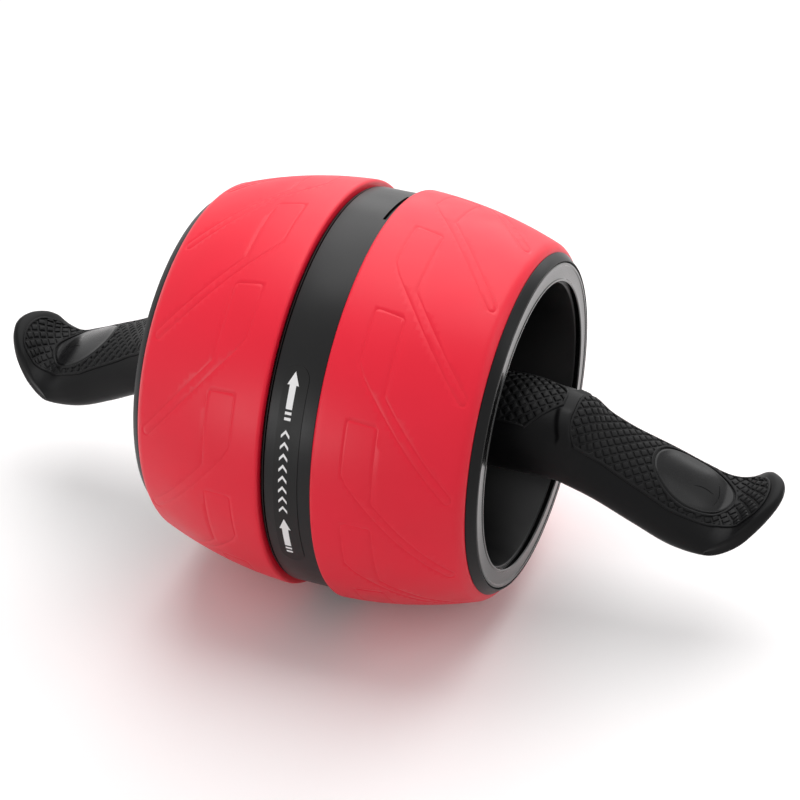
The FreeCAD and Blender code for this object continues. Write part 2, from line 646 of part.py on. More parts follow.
def make_spring_case():
    """Can that holds the spring's outer end, with the flange that the posts clamp."""
    can = turned("case_can", [
        ("-Sizes.case_half_length", "Sizes.case_bore"),
        ("-Sizes.case_half_length", "Sizes.case_radius"),
        (f"-{FLANGE_HALF}", "Sizes.case_radius"),
        (f"-{FLANGE_HALF}", "Sizes.case_flange_radius"),
        (FLANGE_HALF, "Sizes.case_flange_radius"),
        (FLANGE_HALF, "Sizes.case_radius"),
        (CASE_MOUTH, "Sizes.case_radius"),
        (CASE_MOUTH, CASE_INNER),
        (f"-{CASE_MOUTH}", CASE_INNER),
        (f"-{CASE_MOUTH}", "Sizes.case_bore"),
    ])
    before = can.Shape.Volume
    hole = can.newObject("PartDesign::Pocket", "case_hole")
    hole.Profile = post_circle(can, "case_hole_circle", "Sizes.screw_radius + Sizes.screw_gap", FLANGE_HALF)
    hole.setExpression("Length", "Sizes.case_flange")
    doc.recompute()
    round_the_axle(can, "case_holes", [hole])
    shrunk(can, before)
    slot = spring_slot("case_slot", f"{CASE_INNER} - Sizes.case_wall",
                       "Sizes.case_radius + Sizes.case_wall", "0")
    return boolean("Cut", "spring_case", can, slot)


def make_case_lid():
    """Lid of the spring case, centred by its spigot."""
    spigot = f"({CASE_INNER} - Sizes.skin_gap)"
    back = f"({CASE_MOUTH} - Sizes.lid_spigot)"
    inner = f"({spigot} - Sizes.case_wall)"
    return turned("spring_case_lid", [
        ("Sizes.case_half_length", "Sizes.case_bore"),
        ("Sizes.case_half_length", "Sizes.case_radius"),
        (CASE_MOUTH, "Sizes.case_radius"),
        (CASE_MOUTH, spigot),
        (back, spigot),
        (back, inner),
        (CASE_MOUTH, inner),
        (CASE_MOUTH, "Sizes.case_bore"),
    ])


def make_axle():
    """Round bar with a groove for each retaining ring and a hole for each pin."""
    groove = "(Sizes.axle_radius - Sizes.ring_depth)"
    groove_start = f"({RING_START} - Sizes.running_gap)"
    groove_end = f"({RING_END} + Sizes.running_gap)"
    bevel_place = "(Sizes.axle_half_length - Sizes.axle_chamfer)"
    half = [
        (groove_start, "Sizes.axle_radius"),
        (groove_start, groove),
        (groove_end, groove),
        (groove_end, "Sizes.axle_radius"),
        (bevel_place, "Sizes.axle_radius"),
        ("Sizes.axle_half_length", "(Sizes.axle_radius - Sizes.axle_chamfer)"),
        ("Sizes.axle_half_length", "0"),
    ]
    other_half = [(f"-({place})", radius) for place, radius in reversed(half)]
    bar = turned("axle_bar", other_half + half, ON_HANDLE_AXIS)
    reach = "2 * Sizes.axle_radius"
    holes = [pin_across("axle_arbor_hole", "0", "Sizes.arbor_pin_radius + Sizes.pin_gap", f"-{reach}", reach)]
    for side in ("left", "right"):
        holes.append(pin_across(f"axle_pin_hole_{side}", flipped("Sizes.pin_place", side),
                                "Sizes.pin_radius + Sizes.pin_gap", f"-{reach}", reach))
    return boolean("Cut", "axle", bar, joined("axle_holes", holes))


def make_arbor():
    """Collar on the axle with a slot for the spring's inner end and a hole for its pin."""
    collar = turned_ring("arbor_collar", "-Sizes.arbor_half_length", "Sizes.arbor_half_length",
                         "(Sizes.axle_radius + Sizes.running_gap)", "Sizes.arbor_radius", ON_HANDLE_AXIS)
    tongue_end = "(Sizes.spring_start - Sizes.spring_thickness / 2 - Sizes.spring_tongue)"
    cuts = [
        spring_slot("arbor_slot", f"{tongue_end} - Sizes.spring_slot_gap", "2 * Sizes.arbor_radius",
                    "(-Sizes.spring_thickness)"),
        pin_across("arbor_pin_hole", "0", "Sizes.arbor_pin_radius + Sizes.pin_gap",
                   "-2 * Sizes.arbor_radius", "2 * Sizes.arbor_radius"),
    ]
    return boolean("Cut", "spring_arbor", collar, joined("arbor_cuts", cuts))


def make_arbor_pin():
    """Pin that locks the collar to the axle."""
    length = "(Sizes.arbor_radius - Sizes.pin_sink)"
    return pin_across("arbor_pin", "0", "Sizes.arbor_pin_radius", f"-{length}", length)


def spiral_edges(offset):
    """Half circles on two centres by turns, each wider by half a pitch, as a chain of arcs."""
    step = size("spring_pitch") / 2
    face = -size("spring_width") / 2
    edges = []
    for index in range(2 * int(size("spring_turns"))):
        radius = size("spring_start") + index * step + offset
        centre = step * (index % 2)
        sense = 1 if index % 2 == 0 else -1
        start = FreeCAD.Vector(face, centre + sense * radius, 0)
        middle = FreeCAD.Vector(face, centre, sense * radius)
        end = FreeCAD.Vector(face, centre - sense * radius, 0)
        edges.append(Part.Arc(start, middle, end).toShape())
    return edges


def make_spring():
    """Flat spiral strip, its inner end bent into the collar and its outer end through the case."""
    thickness = size("spring_thickness")
    width = size("spring_width")
    outer = spiral_edges(thickness / 2)
    inner = spiral_edges(-thickness / 2)
    start_cap = Part.makeLine(inner[0].Vertexes[0].Point, outer[0].Vertexes[0].Point)
    end_cap = Part.makeLine(outer[-1].Vertexes[-1].Point, inner[-1].Vertexes[-1].Point)
    wire = Part.Wire(Part.__sortEdges__(outer + inner + [start_cap, end_cap]))
    strip = Part.Face(wire).extrude(FreeCAD.Vector(width, 0, 0))
    face = -width / 2
    first = size("spring_start") + thickness / 2
    tongue = size("spring_tongue") + thickness
    bent_in = Part.makeBox(width, tongue, thickness, FreeCAD.Vector(face, first - tongue, -thickness))
    last = size("spring_start") + size("spring_turns") * size("spring_pitch") - thickness / 2
    reach = size("case_radius") - size("spring_slot_gap") - last
    bent_out = Part.makeBox(width, reach, thickness, FreeCAD.Vector(face, last, 0))
    spring = doc.addObject("Part::Feature", "power_spring")
    spring.Label = "power_spring"
    spring.Shape = strip.fuse([bent_in, bent_out]).removeSplitter()
    spring.setExpression("Placement", ON_HANDLE_AXIS)
    return spring


def handle_sections():
    """Places and half sizes of the handle's sections, from the neck's inner end to the tip."""
    rows = [(NECK_START, "0", "Sizes.neck_radius", "Sizes.neck_radius", "0"),
            (f"({NECK_START} + Sizes.neck_lead)", "0", "Sizes.neck_radius", "Sizes.neck_radius", "0"),
            ("Sizes.neck_middle", "0", "Sizes.neck_radius", "Sizes.neck_radius", "0"),
            ("Sizes.neck_end", "0", "Sizes.neck_radius", "Sizes.neck_radius", "0")]
    for section, *_ in SECTIONS:
        rows.append(tuple(f"Sizes.{section}_{field}" for field in SECTION_FIELDS))
    return rows


def tilt_of(rows, index):
    """Slope of the handle's centre line at a section, down from level, from its neighbours."""
    if index < NECK_SECTION_COUNT:
        return "0 deg"
    before = rows[index - 1]
    after = rows[min(index + 1, len(rows) - 1)]
    return f"atan(({after[1]} - {before[1]}) / ({after[0]} - {before[0]}))"


def handle_loft(label, inset):
    """Smooth solid through the handle's oval sections, each smaller by the inset."""
    rows = handle_sections()
    ovals = []
    for index, (reach, drop, half_width, half_height, lean) in enumerate(rows):
        oval = add("Part::Ellipse", f"{label}_section_{index + 1}",
                   MajorRadius=f"{half_width} - {inset}", MinorRadius=f"{half_height} - {inset}")
        oval.setExpression("Placement", f"placement(vector({reach}; {lean}; -{drop});"
                                        f" rotation(90; 0; 90 deg + {tilt_of(rows, index)}))")
        ovals.append(oval)
    loft = doc.addObject("Part::Loft", label)
    loft.Label = label
    loft.Sections = ovals
    loft.Solid = True
    return loft


def seam_point(rows, index):
    """Where the pads' seam crosses a section, as side-view coordinates."""
    tilt = tilt_of(rows, index)
    reach, drop = rows[index][:2]
    return (f"({reach} + Sizes.pad_seam * sin({tilt}))", f"(Sizes.pad_seam * cos({tilt}) - {drop})")


def pad_space(label, corners):
    """Block above the seam, as wide as the handle, that a pad is cut from."""
    body = doc.addObject("PartDesign::Body", label)
    sketch = new_sketch(body, f"{label}_outline", "XZ_Plane")
    draw_outline(sketch, corners)
    block = body.newObject("PartDesign::Pad", f"{label}_block")
    block.Profile = sketch
    block.SideType = "Symmetric"
    block.setExpression("Length", "Sizes.pad_zone")
    doc.recompute()
    return body


def oval_line(form):
    """Incised line round the palm oval on top of the grip."""
    walls = []
    for name, inset in (("outer", "0"), ("inner", "Sizes.line_width")):
        oval = add("Part::Ellipse", f"oval_{name}", MajorRadius=f"Sizes.oval_half_length - {inset}",
                   MinorRadius=f"Sizes.oval_half_width - {inset}",
                   Placement="placement(vector(Sizes.oval_reach; Sizes.oval_lean; -Sizes.oval_drop);"
                             " rotation(0; Sizes.oval_tilt_angle; 0))")
        walls.append(raised(f"oval_{name}_block", oval, "Sizes.oval_half_width"))
    wall = boolean("Cut", "oval_wall", *walls)
    skin = boolean("Cut", "oval_skin", form, handle_loft("handle_under_line", "Sizes.line_depth"))
    return boolean("Common", "oval_line", wall, skin)


def make_handle():
    """Right handle in its own plane: hard core, neck pad and grip pad, before it is turned."""
    form = handle_loft("handle_form", "0")
    heart = handle_loft("handle_heart", "Sizes.pad_thickness")
    rows = handle_sections()
    first = NECK_SECTION_COUNT + [section for section, *_ in SECTIONS].index("knuckle")
    seam = [seam_point(rows, index) for index in range(first, len(rows) - 1)]
    slope_in = f"({seam[0][1]} - ({seam[1][1]} - {seam[0][1]}) * ({seam[0][0]} - Sizes.grip_pad_start)"
    slope_in += f" / ({seam[1][0]} - {seam[0][0]}))"
    top = "Sizes.pad_zone"
    grip_corners = [("Sizes.grip_pad_start", top), ("Sizes.grip_pad_start", slope_in), *seam[:-1],
                    ("Sizes.grip_pad_end", seam[-1][1]), ("Sizes.grip_pad_end", top)]
    neck_corners = [("Sizes.neck_pad_start", top), ("Sizes.neck_pad_start", "Sizes.pad_seam"),
                    ("Sizes.neck_pad_end", "Sizes.pad_seam"), ("Sizes.neck_pad_end", top)]
    pads = []
    for name, corners in (("grip_pad", grip_corners), ("neck_pad", neck_corners)):
        block = boolean("Common", f"{name}_block_cut", form, pad_space(f"{name}_space", corners))
        pads.append(boolean("Cut", f"{name}_plain", block, heart))
    socket = add("Part::Cylinder", "handle_socket", Radius="Sizes.axle_radius + Sizes.running_gap",
                 Height=f"Sizes.axle_half_length + Sizes.socket_spare - {NECK_START} + Sizes.end_play",
                 Placement=f"placement(vector({NECK_START} - Sizes.end_play; 0; 0); rotation(0; 90; 0))")
    low = "-2 * Sizes.neck_radius"
    pin_hole = add("Part::Cylinder", "handle_pin_hole", Radius="Sizes.pin_radius + Sizes.pin_gap",
                   Height=f"Sizes.pin_reach + Sizes.pin_gap - ({low})",
                   Placement=f"placement(vector(Sizes.pin_place; 0; {low}); rotation(0; 0; 0))")
    core = boolean("Cut", "handle_core_plain", form, joined("handle_cuts", [*pads, socket, pin_hole]))
    doc.recompute()
    grip = boolean("Cut", "grip_pad_lined", pads[0], oval_line(form))
    shrunk(grip, pads[0].Shape.Volume)
    return {"handle_core": core, "grip_pad": grip, "neck_pad": pads[1]}


def make_handles():
    """Both handles, turned about the axle and mirrored."""
    pieces = []
    for name, plain in make_handle().items():
        right = doc.addObject("Part::Compound", f"{name}_right")
        right.Label = f"{name}_right"
        right.Links = [plain]
        right.setExpression("Placement", ON_HANDLE_AXIS)
        pieces.append(right)
        pieces.append(mirrored(f"{name}_left", right))
    return pieces


def make_handle_pin(side):
    """Pin from under the neck through the axle."""
    low = "(Sizes.pin_sink - Sizes.neck_radius)"
    return pin_across(f"handle_pin_{side}", flipped("Sizes.pin_place", side), "Sizes.pin_radius", low,
                      "Sizes.pin_reach")


nodes = []
for side in ("right", "left"):
    for make in (make_tread, make_shell, make_trim_ring, make_bush, make_thrust_washer, make_retaining_ring,
                 make_handle_pin):
        nodes.append(make(side))
for make in (make_band, make_label, make_screws, make_spring_case, make_case_lid, make_axle, make_arbor,
             make_arbor_pin, make_spring):
    nodes.append(make())
nodes.extend(make_handles())
doc.recompute()

faults = [item.Label for item in doc.Objects if "Invalid" in item.State or "Error" in item.State]
for node in nodes:
    if node.Shape.isNull() or not node.Shape.isValid() or not node.Shape.Solids:
        faults.append(node.Label)
if faults:
    raise RuntimeError(f"these did not build: {sorted(set(faults))}")

os.makedirs("parts", exist_ok=True)
for node in nodes:
    solids = node.Shape.Solids
    shape = solids[0] if len(solids) == 1 else Part.makeCompound(solids)
    shape.exportStep(f"parts/{node.Label}.step")
    print(f"{node.Label}: {len(solids)} solid(s), {shape.Volume / 1000:.2f} cm3")
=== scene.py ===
"""Rebound ab wheel roller: dresses the CAD frame with its moulded treads, rims, label and grips.

Sizes are written in millimetres and turned to metres by MM. +X runs along the axle, +Y is the way
the wheel rolls out, +Z is up. Angles round the wheel run from the back over the top.
"""
import bpy
import json
import math
import numpy as np
from mathutils import Matrix, Vector


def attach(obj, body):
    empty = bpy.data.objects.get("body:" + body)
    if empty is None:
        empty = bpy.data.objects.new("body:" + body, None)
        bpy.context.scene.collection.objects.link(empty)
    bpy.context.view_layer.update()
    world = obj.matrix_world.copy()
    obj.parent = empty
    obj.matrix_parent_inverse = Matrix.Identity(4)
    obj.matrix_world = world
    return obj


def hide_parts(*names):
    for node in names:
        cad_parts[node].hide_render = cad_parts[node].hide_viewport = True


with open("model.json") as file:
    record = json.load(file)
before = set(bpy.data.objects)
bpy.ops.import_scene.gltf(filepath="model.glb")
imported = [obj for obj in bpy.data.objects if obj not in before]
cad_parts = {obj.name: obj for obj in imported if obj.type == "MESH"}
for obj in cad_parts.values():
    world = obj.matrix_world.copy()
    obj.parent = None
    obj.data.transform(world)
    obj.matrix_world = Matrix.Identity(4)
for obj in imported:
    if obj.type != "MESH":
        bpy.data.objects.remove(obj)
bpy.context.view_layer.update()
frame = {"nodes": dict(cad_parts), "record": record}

MM = 0.001
AXLE_HEIGHT = 93.7
WHEEL = "wheel"
HANDLES = "handles_and_axle"


# Materials


def linear(text):
    """An sRGB hex colour as linear red, green, blue and alpha."""
    parts = [int(text[i:i + 2], 16) / 255 for i in (0, 2, 4)]
    return [p / 12.92 if p <= 0.04045 else ((p + 0.055) / 1.055) ** 2.4 for p in parts] + [1.0]


def add_node(tree, kind, settings=None, numbered=None, **inputs):
    """Adds a shader node, sets its properties, and sets or links its inputs.

    Inputs go by number or by name, in which an underscore stands for a space.
    """
    node = tree.nodes.new("ShaderNode" + kind)
    for key, value in (settings or {}).items():
        setattr(node, key, value)
    sockets = [(node.inputs[index], value) for index, value in (numbered or {}).items()]
    sockets += [(node.inputs[key.replace("_", " ")], value) for key, value in inputs.items()]
    for socket, value in sockets:
        if isinstance(value, bpy.types.NodeSocket):
            tree.links.new(value, socket)
        else:
            socket.default_value = value
    return node


def noise(tree, place, size_mm, detail):
    """Soft noise with features about this many millimetres across."""
    node = add_node(tree, "TexNoise", Vector=place, Scale=1 / (size_mm * MM), Detail=detail)
    return node.outputs["Fac"]


def bump(tree, height, depth_mm, strength):
    """Surface direction of a relief so many millimetres deep."""
    node = add_node(tree, "Bump", Height=height, Distance=depth_mm * MM, Strength=strength)
    return node.outputs["Normal"]


def new_material(name):
    """An empty node material, its tree and the Object coordinates that its patterns read."""
    material = bpy.data.materials.new(name)
    material.use_nodes = True
    tree = material.node_tree
    tree.nodes.clear()
    place = add_node(tree, "TexCoord").outputs["Object"]
    return material, tree, place


NOISE_LOW = 0.3
NOISE_HIGH = 0.7
GLOSS_SPREAD = 0.05
# Steel: the depth of its lines, how far they are drawn out, and how much smoother and duller they make it.
STEEL_LINE_DEPTH = 0.004
DRAWN_OUT = 0.04
STEEL_SMOOTHER = 0.08
STEEL_DULLER = 0.12


def moulded(name, dark, light, rough, grain_mm, grain_depth_mm, cloud_mm, ior=1.5, specular=0.5, **coat):
    """A moulded plastic or rubber: two close tones in soft clouds, and the fine grain of the mould's steel.

    The grain breaks up the gloss, and the clouds vary tone and gloss as handling and cooling do.
    """
    material, tree, place = new_material(name)
    cloud = noise(tree, place, cloud_mm, detail=3.0)
    tone = add_node(tree, "Mix", {"data_type": "RGBA"}, {0: cloud, 6: linear(dark), 7: linear(light)})
    gloss = add_node(tree, "MapRange", Value=cloud, From_Min=NOISE_LOW, From_Max=NOISE_HIGH,
                     To_Min=rough - GLOSS_SPREAD, To_Max=rough + GLOSS_SPREAD)
    grain = noise(tree, place, grain_mm, detail=2.0)
    surface = add_node(tree, "BsdfPrincipled", Base_Color=tone.outputs[2], Roughness=gloss.outputs["Result"],
                       Normal=bump(tree, grain, grain_depth_mm, strength=0.6), IOR=ior,
                       Specular_IOR_Level=specular, **coat)
    add_node(tree, "OutputMaterial", Surface=surface.outputs["BSDF"])
    return material


def worked_steel(name, colour, rough, line_mm):
    """Turned or rolled steel: fine lines along the axle's turning direction break up its gloss."""
    material, tree, place = new_material(name)
    stretch = add_node(tree, "Mapping", Vector=place, Scale=(1.0, DRAWN_OUT, DRAWN_OUT))
    lines = noise(tree, stretch.outputs["Vector"], line_mm, detail=3.0)
    gloss = add_node(tree, "MapRange", Value=lines, To_Min=rough - STEEL_SMOOTHER,
                     To_Max=rough + STEEL_DULLER)
    surface = add_node(tree, "BsdfPrincipled", Base_Color=linear(colour), Metallic=1.0,
                       Roughness=gloss.outputs["Result"],
                       Normal=bump(tree, lines, STEEL_LINE_DEPTH, strength=0.4))
    add_node(tree, "OutputMaterial", Surface=surface.outputs["BSDF"])
    return material


# Soft red thermoplastic rubber, moulded: satin and even, with a faint bloom.
tread_rubber = moulded(
    "moulded red rubber", "E2152E", "EA1B36", rough=0.42, grain_mm=0.5, grain_depth_mm=0.03, cloud_mm=28,
    specular=0.35)
# Black ABS from a spark-etched mould: satin, with a very fine grain.
satin_abs = moulded(
    "satin black ABS", "09090A", "0E0E0F", rough=0.36, grain_mm=0.35, grain_depth_mm=0.02, cloud_mm=22,
    ior=1.53, specular=0.16)
# The band is the same ABS with a slightly finer etch, so it shines a little more.
band_abs = moulded(
    "band black ABS", "09090A", "0D0D0E", rough=0.34, grain_mm=0.3, grain_depth_mm=0.015, cloud_mm=30,
    ior=1.53, specular=0.24)
# ABS from a polished mould, under clear lacquer: a mirror-like black.
gloss_abs = moulded(
    "lacquered black ABS", "060606", "080808", rough=0.13, grain_mm=4, grain_depth_mm=0.004, cloud_mm=18,
    ior=1.53, specular=0.35, Coat_Weight=0.15, Coat_Roughness=0.04)
# Calendered film of the label: flat and matt, a dull strip on the satin band.
label_film = moulded(
    "matt black label film", "070707", "0A0A0A", rough=0.42, grain_mm=0.4, grain_depth_mm=0.006, cloud_mm=12,
    specular=0.25)
# Screen-printed ink: matt and close to white.
label_ink = moulded(
    "white screen ink", "E9E9E9", "F2F2F2", rough=0.5, grain_mm=0.25, grain_depth_mm=0.006, cloud_mm=6)
# Black rubber of the textured pads: matt, so most of its gloss is lost in its fine grain.
grip_rubber = moulded(
    "moulded black rubber", "0A0A0B", "0E0E0F", rough=0.48, grain_mm=0.35, grain_depth_mm=0.02, cloud_mm=12,
    specular=0.14)
# The smooth palm oval is polished in the mould, so it shines more than the pads.
oval_rubber = moulded(
    "polished black rubber", "0B0B0C", "101011", rough=0.27, grain_mm=0.8, grain_depth_mm=0.006, cloud_mm=14,
    specular=0.2)
# The smooth side and underside of the handles: satin soft-touch plastic.
handle_plastic = moulded(
    "soft-touch black plastic", "09090A", "0E0E0F", rough=0.42, grain_mm=0.4, grain_depth_mm=0.02,
    cloud_mm=20, specular=0.12)
# Moulded acetal of the bushes and washers: waxy white with a soft gloss.
acetal = moulded(
    "white acetal", "DDDBD2", "E6E4DC", rough=0.4, grain_mm=0.6, grain_depth_mm=0.01, cloud_mm=14, ior=1.48)
# Moulded nylon of the spring case: dull grey, slightly mottled by its glass fibres.
case_plastic = moulded(
    "grey glass-filled nylon", "3C3D40", "484A4D", rough=0.5, grain_mm=0.5, grain_depth_mm=0.02, cloud_mm=16,
    ior=1.53)
# Screws with a black zinc plating: dark, with a soft metal gleam.
screw_steel = worked_steel("black zinc-plated steel", "4A4A4D", rough=0.32, line_mm=0.4)
# Bar and rings turned from bright steel: pale, its gloss drawn out by the turning lines.
axle_steel = worked_steel("turned bright steel", "A9A9AB", rough=0.3, line_mm=0.4)
# Rolled and tempered strip: blue-grey, with coarser rolling lines.
spring_steel = worked_steel("blued spring steel", "565B66", rough=0.34, line_mm=0.6)

FINISHES = {
    "tread_red": tread_rubber, "shell_black": satin_abs, "band_black": band_abs, "label_black": label_film,
    "trim_black": gloss_abs, "bearing_white": acetal, "case_grey": case_plastic, "steel": axle_steel,
    "spring_steel": spring_steel, "handle_black": handle_plastic, "grip_black": grip_rubber,
}
for part in frame["record"]["subparts"]:
    node = frame["nodes"][part["node"]]
    node.data.materials.clear()
    node.data.materials.append(FINISHES[part["material_slot"]])


# Modelling


def start_clean():
    """Leaves nothing selected, so that the next operator acts on the new piece alone."""
    if bpy.context.object and bpy.context.object.mode != "OBJECT":
        bpy.ops.object.mode_set(mode="OBJECT")
    bpy.ops.object.select_all(action="DESELECT")


def named(piece, name):
    """Names a piece and its mesh."""
    piece.name = name
    piece.data.name = name
    return piece


def new_piece(name):
    """The piece just added, named, with its place and size settled in its mesh."""
    bpy.ops.object.transform_apply(location=True, rotation=True, scale=True)
    return named(bpy.context.object, name)


def edit():
    """Edit mode with the whole mesh selected."""
    bpy.ops.object.mode_set(mode="EDIT")
    bpy.ops.mesh.select_mode(type="VERT")
    bpy.ops.mesh.select_all(action="SELECT")


def leave_edit():
    """Back to object mode. The active piece."""
    bpy.ops.object.mode_set(mode="OBJECT")
    return bpy.context.object


def face_outwards():
    """Points every face of the active piece outwards and leaves edit mode."""
    bpy.ops.mesh.select_all(action="SELECT")
    bpy.ops.mesh.normals_make_consistent(inside=False)
    return leave_edit()


def extrude(x, y, z):
    """Extrudes what is selected by so many millimetres."""
    bpy.ops.mesh.extrude_region_move(TRANSFORM_OT_translate={"value": (x * MM, y * MM, z * MM)})


def only(piece):
    """Makes a piece the only selected one."""
    start_clean()
    piece.select_set(True)
    bpy.context.view_layer.objects.active = piece


def select_faces(piece, chosen):
    """Edit mode with those faces selected for which chosen(face) holds."""
    only(piece)
    edit()
    bpy.ops.mesh.select_mode(type="FACE")
    bpy.ops.mesh.select_all(action="DESELECT")
    leave_edit()
    for face in piece.data.polygons:
        face.select = chosen(face)
    bpy.ops.object.mode_set(mode="EDIT")


def drawn_line(name, points):
    """A chain of edges through points in millimetres: a plane shrunk to a point and extruded along them."""
    start_clean()
    bpy.ops.mesh.primitive_plane_add(size=MM, location=[c * MM for c in points[0]])
    edit()
    bpy.ops.mesh.merge(type="CENTER")
    for before, after in zip(points, points[1:]):
        extrude(*[b - a for a, b in zip(before, after)])
    leave_edit()
    return new_piece(name)


def drawn_face(name, points):
    """A flat face with this outline, points in millimetres."""
    drawn_line(name, points)
    edit()
    bpy.ops.mesh.edge_face_add()
    return face_outwards()


def sloped_ring(name, outline, width, low, high, slope, tip, even=True):
    """A line inside a flat outline. It stands from low to high and then slopes in to its tip."""
    drawn_face(name, [(x, y, low) for x, y in outline])
    edit()
    bpy.ops.mesh.inset(thickness=width * MM, depth=0, use_even_offset=even)
    bpy.ops.mesh.delete(type="FACE")
    bpy.ops.mesh.select_all(action="SELECT")
    extrude(0, 0, high - low)
    bpy.ops.mesh.inset(thickness=slope * MM, depth=0, use_even_offset=even)
    bpy.ops.transform.translate(value=(0, 0, tip * MM))
    return face_outwards()


def tidy(piece, merge_mm=0.002):
    """Merges doubles and points every face outwards."""
    only(piece)
    edit()
    bpy.ops.mesh.remove_doubles(threshold=merge_mm * MM)
    bpy.ops.mesh.dissolve_degenerate(threshold=merge_mm * MM)
    return face_outwards()


def smooth(piece, angle=35):
    """Smooth shading that keeps edges sharper than this angle."""
    only(piece)
    bpy.ops.object.shade_smooth_by_angle(angle=math.radians(angle))


def apply_boolean(piece, tool, operation):
    """Cuts, joins or intersects a piece with a tool, which is then removed."""
    only(piece)
    modifier = piece.modifiers.new("cut", "BOOLEAN")
    modifier.operation = operation
    modifier.solver = "MANIFOLD"
    modifier.object = tool
    bpy.ops.object.modifier_apply(modifier=modifier.name)
    bpy.data.objects.remove(tool)


def joined(name, pieces):
    """One piece from several."""
    start_clean()
    for piece in pieces:
        piece.select_set(True)
    bpy.context.view_layer.objects.active = pieces[0]
    bpy.ops.object.join()
    return named(pieces[0], name)


def points_of(piece):
    """The piece's vertices in millimetres, one row each."""
    flat = np.empty(len(piece.data.vertices) * 3)
    piece.data.vertices.foreach_get("co", flat)
    return flat.reshape(-1, 3) / MM


def move_points(piece, points):
    """Puts the piece's vertices at new places in millimetres."""
    piece.data.vertices.foreach_set("co", (points * MM).ravel())
    piece.data.update()


def twin_of(piece, name):
    """A copy with a mesh of its own."""
    twin = piece.copy()
    twin.data = piece.data.copy()
    bpy.context.collection.objects.link(twin)
    return named(twin, name)


def mirrored(piece, name):
    """The left-hand twin."""
    twin = twin_of(piece, name)
    twin.data.transform(Matrix.Diagonal((-1, 1, 1, 1)))
    twin.data.flip_normals()
    return twin


def fit(piece, body, material, slot, *nodes):
    """Gives a finished piece its material and body, and hides the nodes that it stands for. Its slot is not
    used.
    """
    piece.data.materials.clear()
    piece.data.materials.append(material)
    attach(piece, body)
    if nodes:
        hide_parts(*nodes)


def both_sides(piece, body, material, slot, node=None):
    """Fits a right-hand piece and its mirror image, in place of a pair of nodes if one is named."""
    twin = mirrored(piece, piece.name.replace("right", "left"))
    for side, hand in ((piece, "right"), (twin, "left")):
        fit(side, body, material, slot, *([f"{node}_{hand}"] if node else []))


# Wheel


CROWN_RADIUS = 193
CROWN_CENTRE = 4.6
TREAD_START = 12
TREAD_END = 76.15
TREAD_END_RADIUS = 77.9
EDGE_ROUND = 1.5
EDGE_DROPS = (2.6, 1)
EDGE_STEPS = 6
END_DROP = 1.5
SHOULDER = 71.7
SHOULDER_RADIUS = 7
CREST = TREAD_START + EDGE_ROUND
BAND_RADIUS = 91


def crown(x):
    """Radius of the barrel at an axial place."""
    return (AXLE_HEIGHT - math.sqrt(CROWN_RADIUS ** 2 - (CREST - CROWN_CENTRE) ** 2)
            + math.sqrt(CROWN_RADIUS ** 2 - (x - CROWN_CENTRE) ** 2))


def arc(centre, radius, start, end, count):
    """Points on an arc, angles in degrees."""
    turns = [math.radians(start + (end - start) * i / count) for i in range(count + 1)]
    return [(centre[0] + radius * math.cos(t), centre[1] + radius * math.sin(t)) for t in turns]


def rounded(corners, count=4):
    """An outline of (x, y, radius) corners with each corner turned into an arc."""
    outline = []
    for index, (x, y, radius) in enumerate(corners):
        if not radius:
            outline.append((x, y))
            continue
        corner = Vector((x, y))
        before = (Vector(corners[index - 1][:2]) - corner).normalized()
        after = (Vector(corners[(index + 1) % len(corners)][:2]) - corner).normalized()
        half = before.angle(after) / 2
        centre = corner + (before + after).normalized() * (radius / math.sin(half))
        first = corner + before * (radius / math.tan(half)) - centre
        last = corner + after * (radius / math.tan(half)) - centre
        start = math.degrees(math.atan2(first.y, first.x))
        sweep = (math.degrees(math.atan2(last.y, last.x)) - start + 180) % 360 - 180
        outline += arc(centre, radius, start, start + sweep, count)
    return outline


def turned(name, outline, steps=180, arc_angle=360.0):
    """A piece turned about the axle from a closed outline of (axial place, radius)."""
    points = [(x, 0, AXLE_HEIGHT + radius) for x, radius in outline]
    piece = drawn_line(name, points + points[:1]) if arc_angle == 360.0 else drawn_face(name, points)
    edit()
    bpy.ops.mesh.spin(steps=steps, angle=math.radians(arc_angle), center=(0, 0, AXLE_HEIGHT * MM),
                      axis=(1, 0, 0))
    leave_edit()
    return tidy(piece)


def around(x, angle, radius):
    """Places round the wheel's axis, arrays of millimetres and degrees, as rows of points."""
    turn = np.radians(angle)
    return np.column_stack((x, radius * np.cos(turn), AXLE_HEIGHT + radius * np.sin(turn)))


# The tread is modelled flat, with its incised lines cut into it, and then wrapped round the barrel.
# One line runs round each block: a foot near the middle and a slanted arm that reaches the shoulder.
BLOCK_PITCH = 30
BLOCK_FIRST = 2.5
LINE_WIDTH = 1.0
LINE_DEPTH = 0.2
LINE_SLOPE = 0.36
LINE_CORNER = 2.2
LINE_STEP = 2.5
CUTTER_TOP = 0.4
FLAT_RADIUS = 92
TREAD_TURNS = 180
CROWN_POINTS = 28
END_MARGIN = 0.01
END_FACING = 0.99
# Corners of one block's line: axial place and degrees round the wheel.
BLOCK = [(25.2, 0.0), (39.3, 1.0), (39.6, 22.8), (71.9, 48.6), (71.9, 53.7), (28.4, 19.2), (25.2, 15.6)]
TREAD_THICKNESS = 3


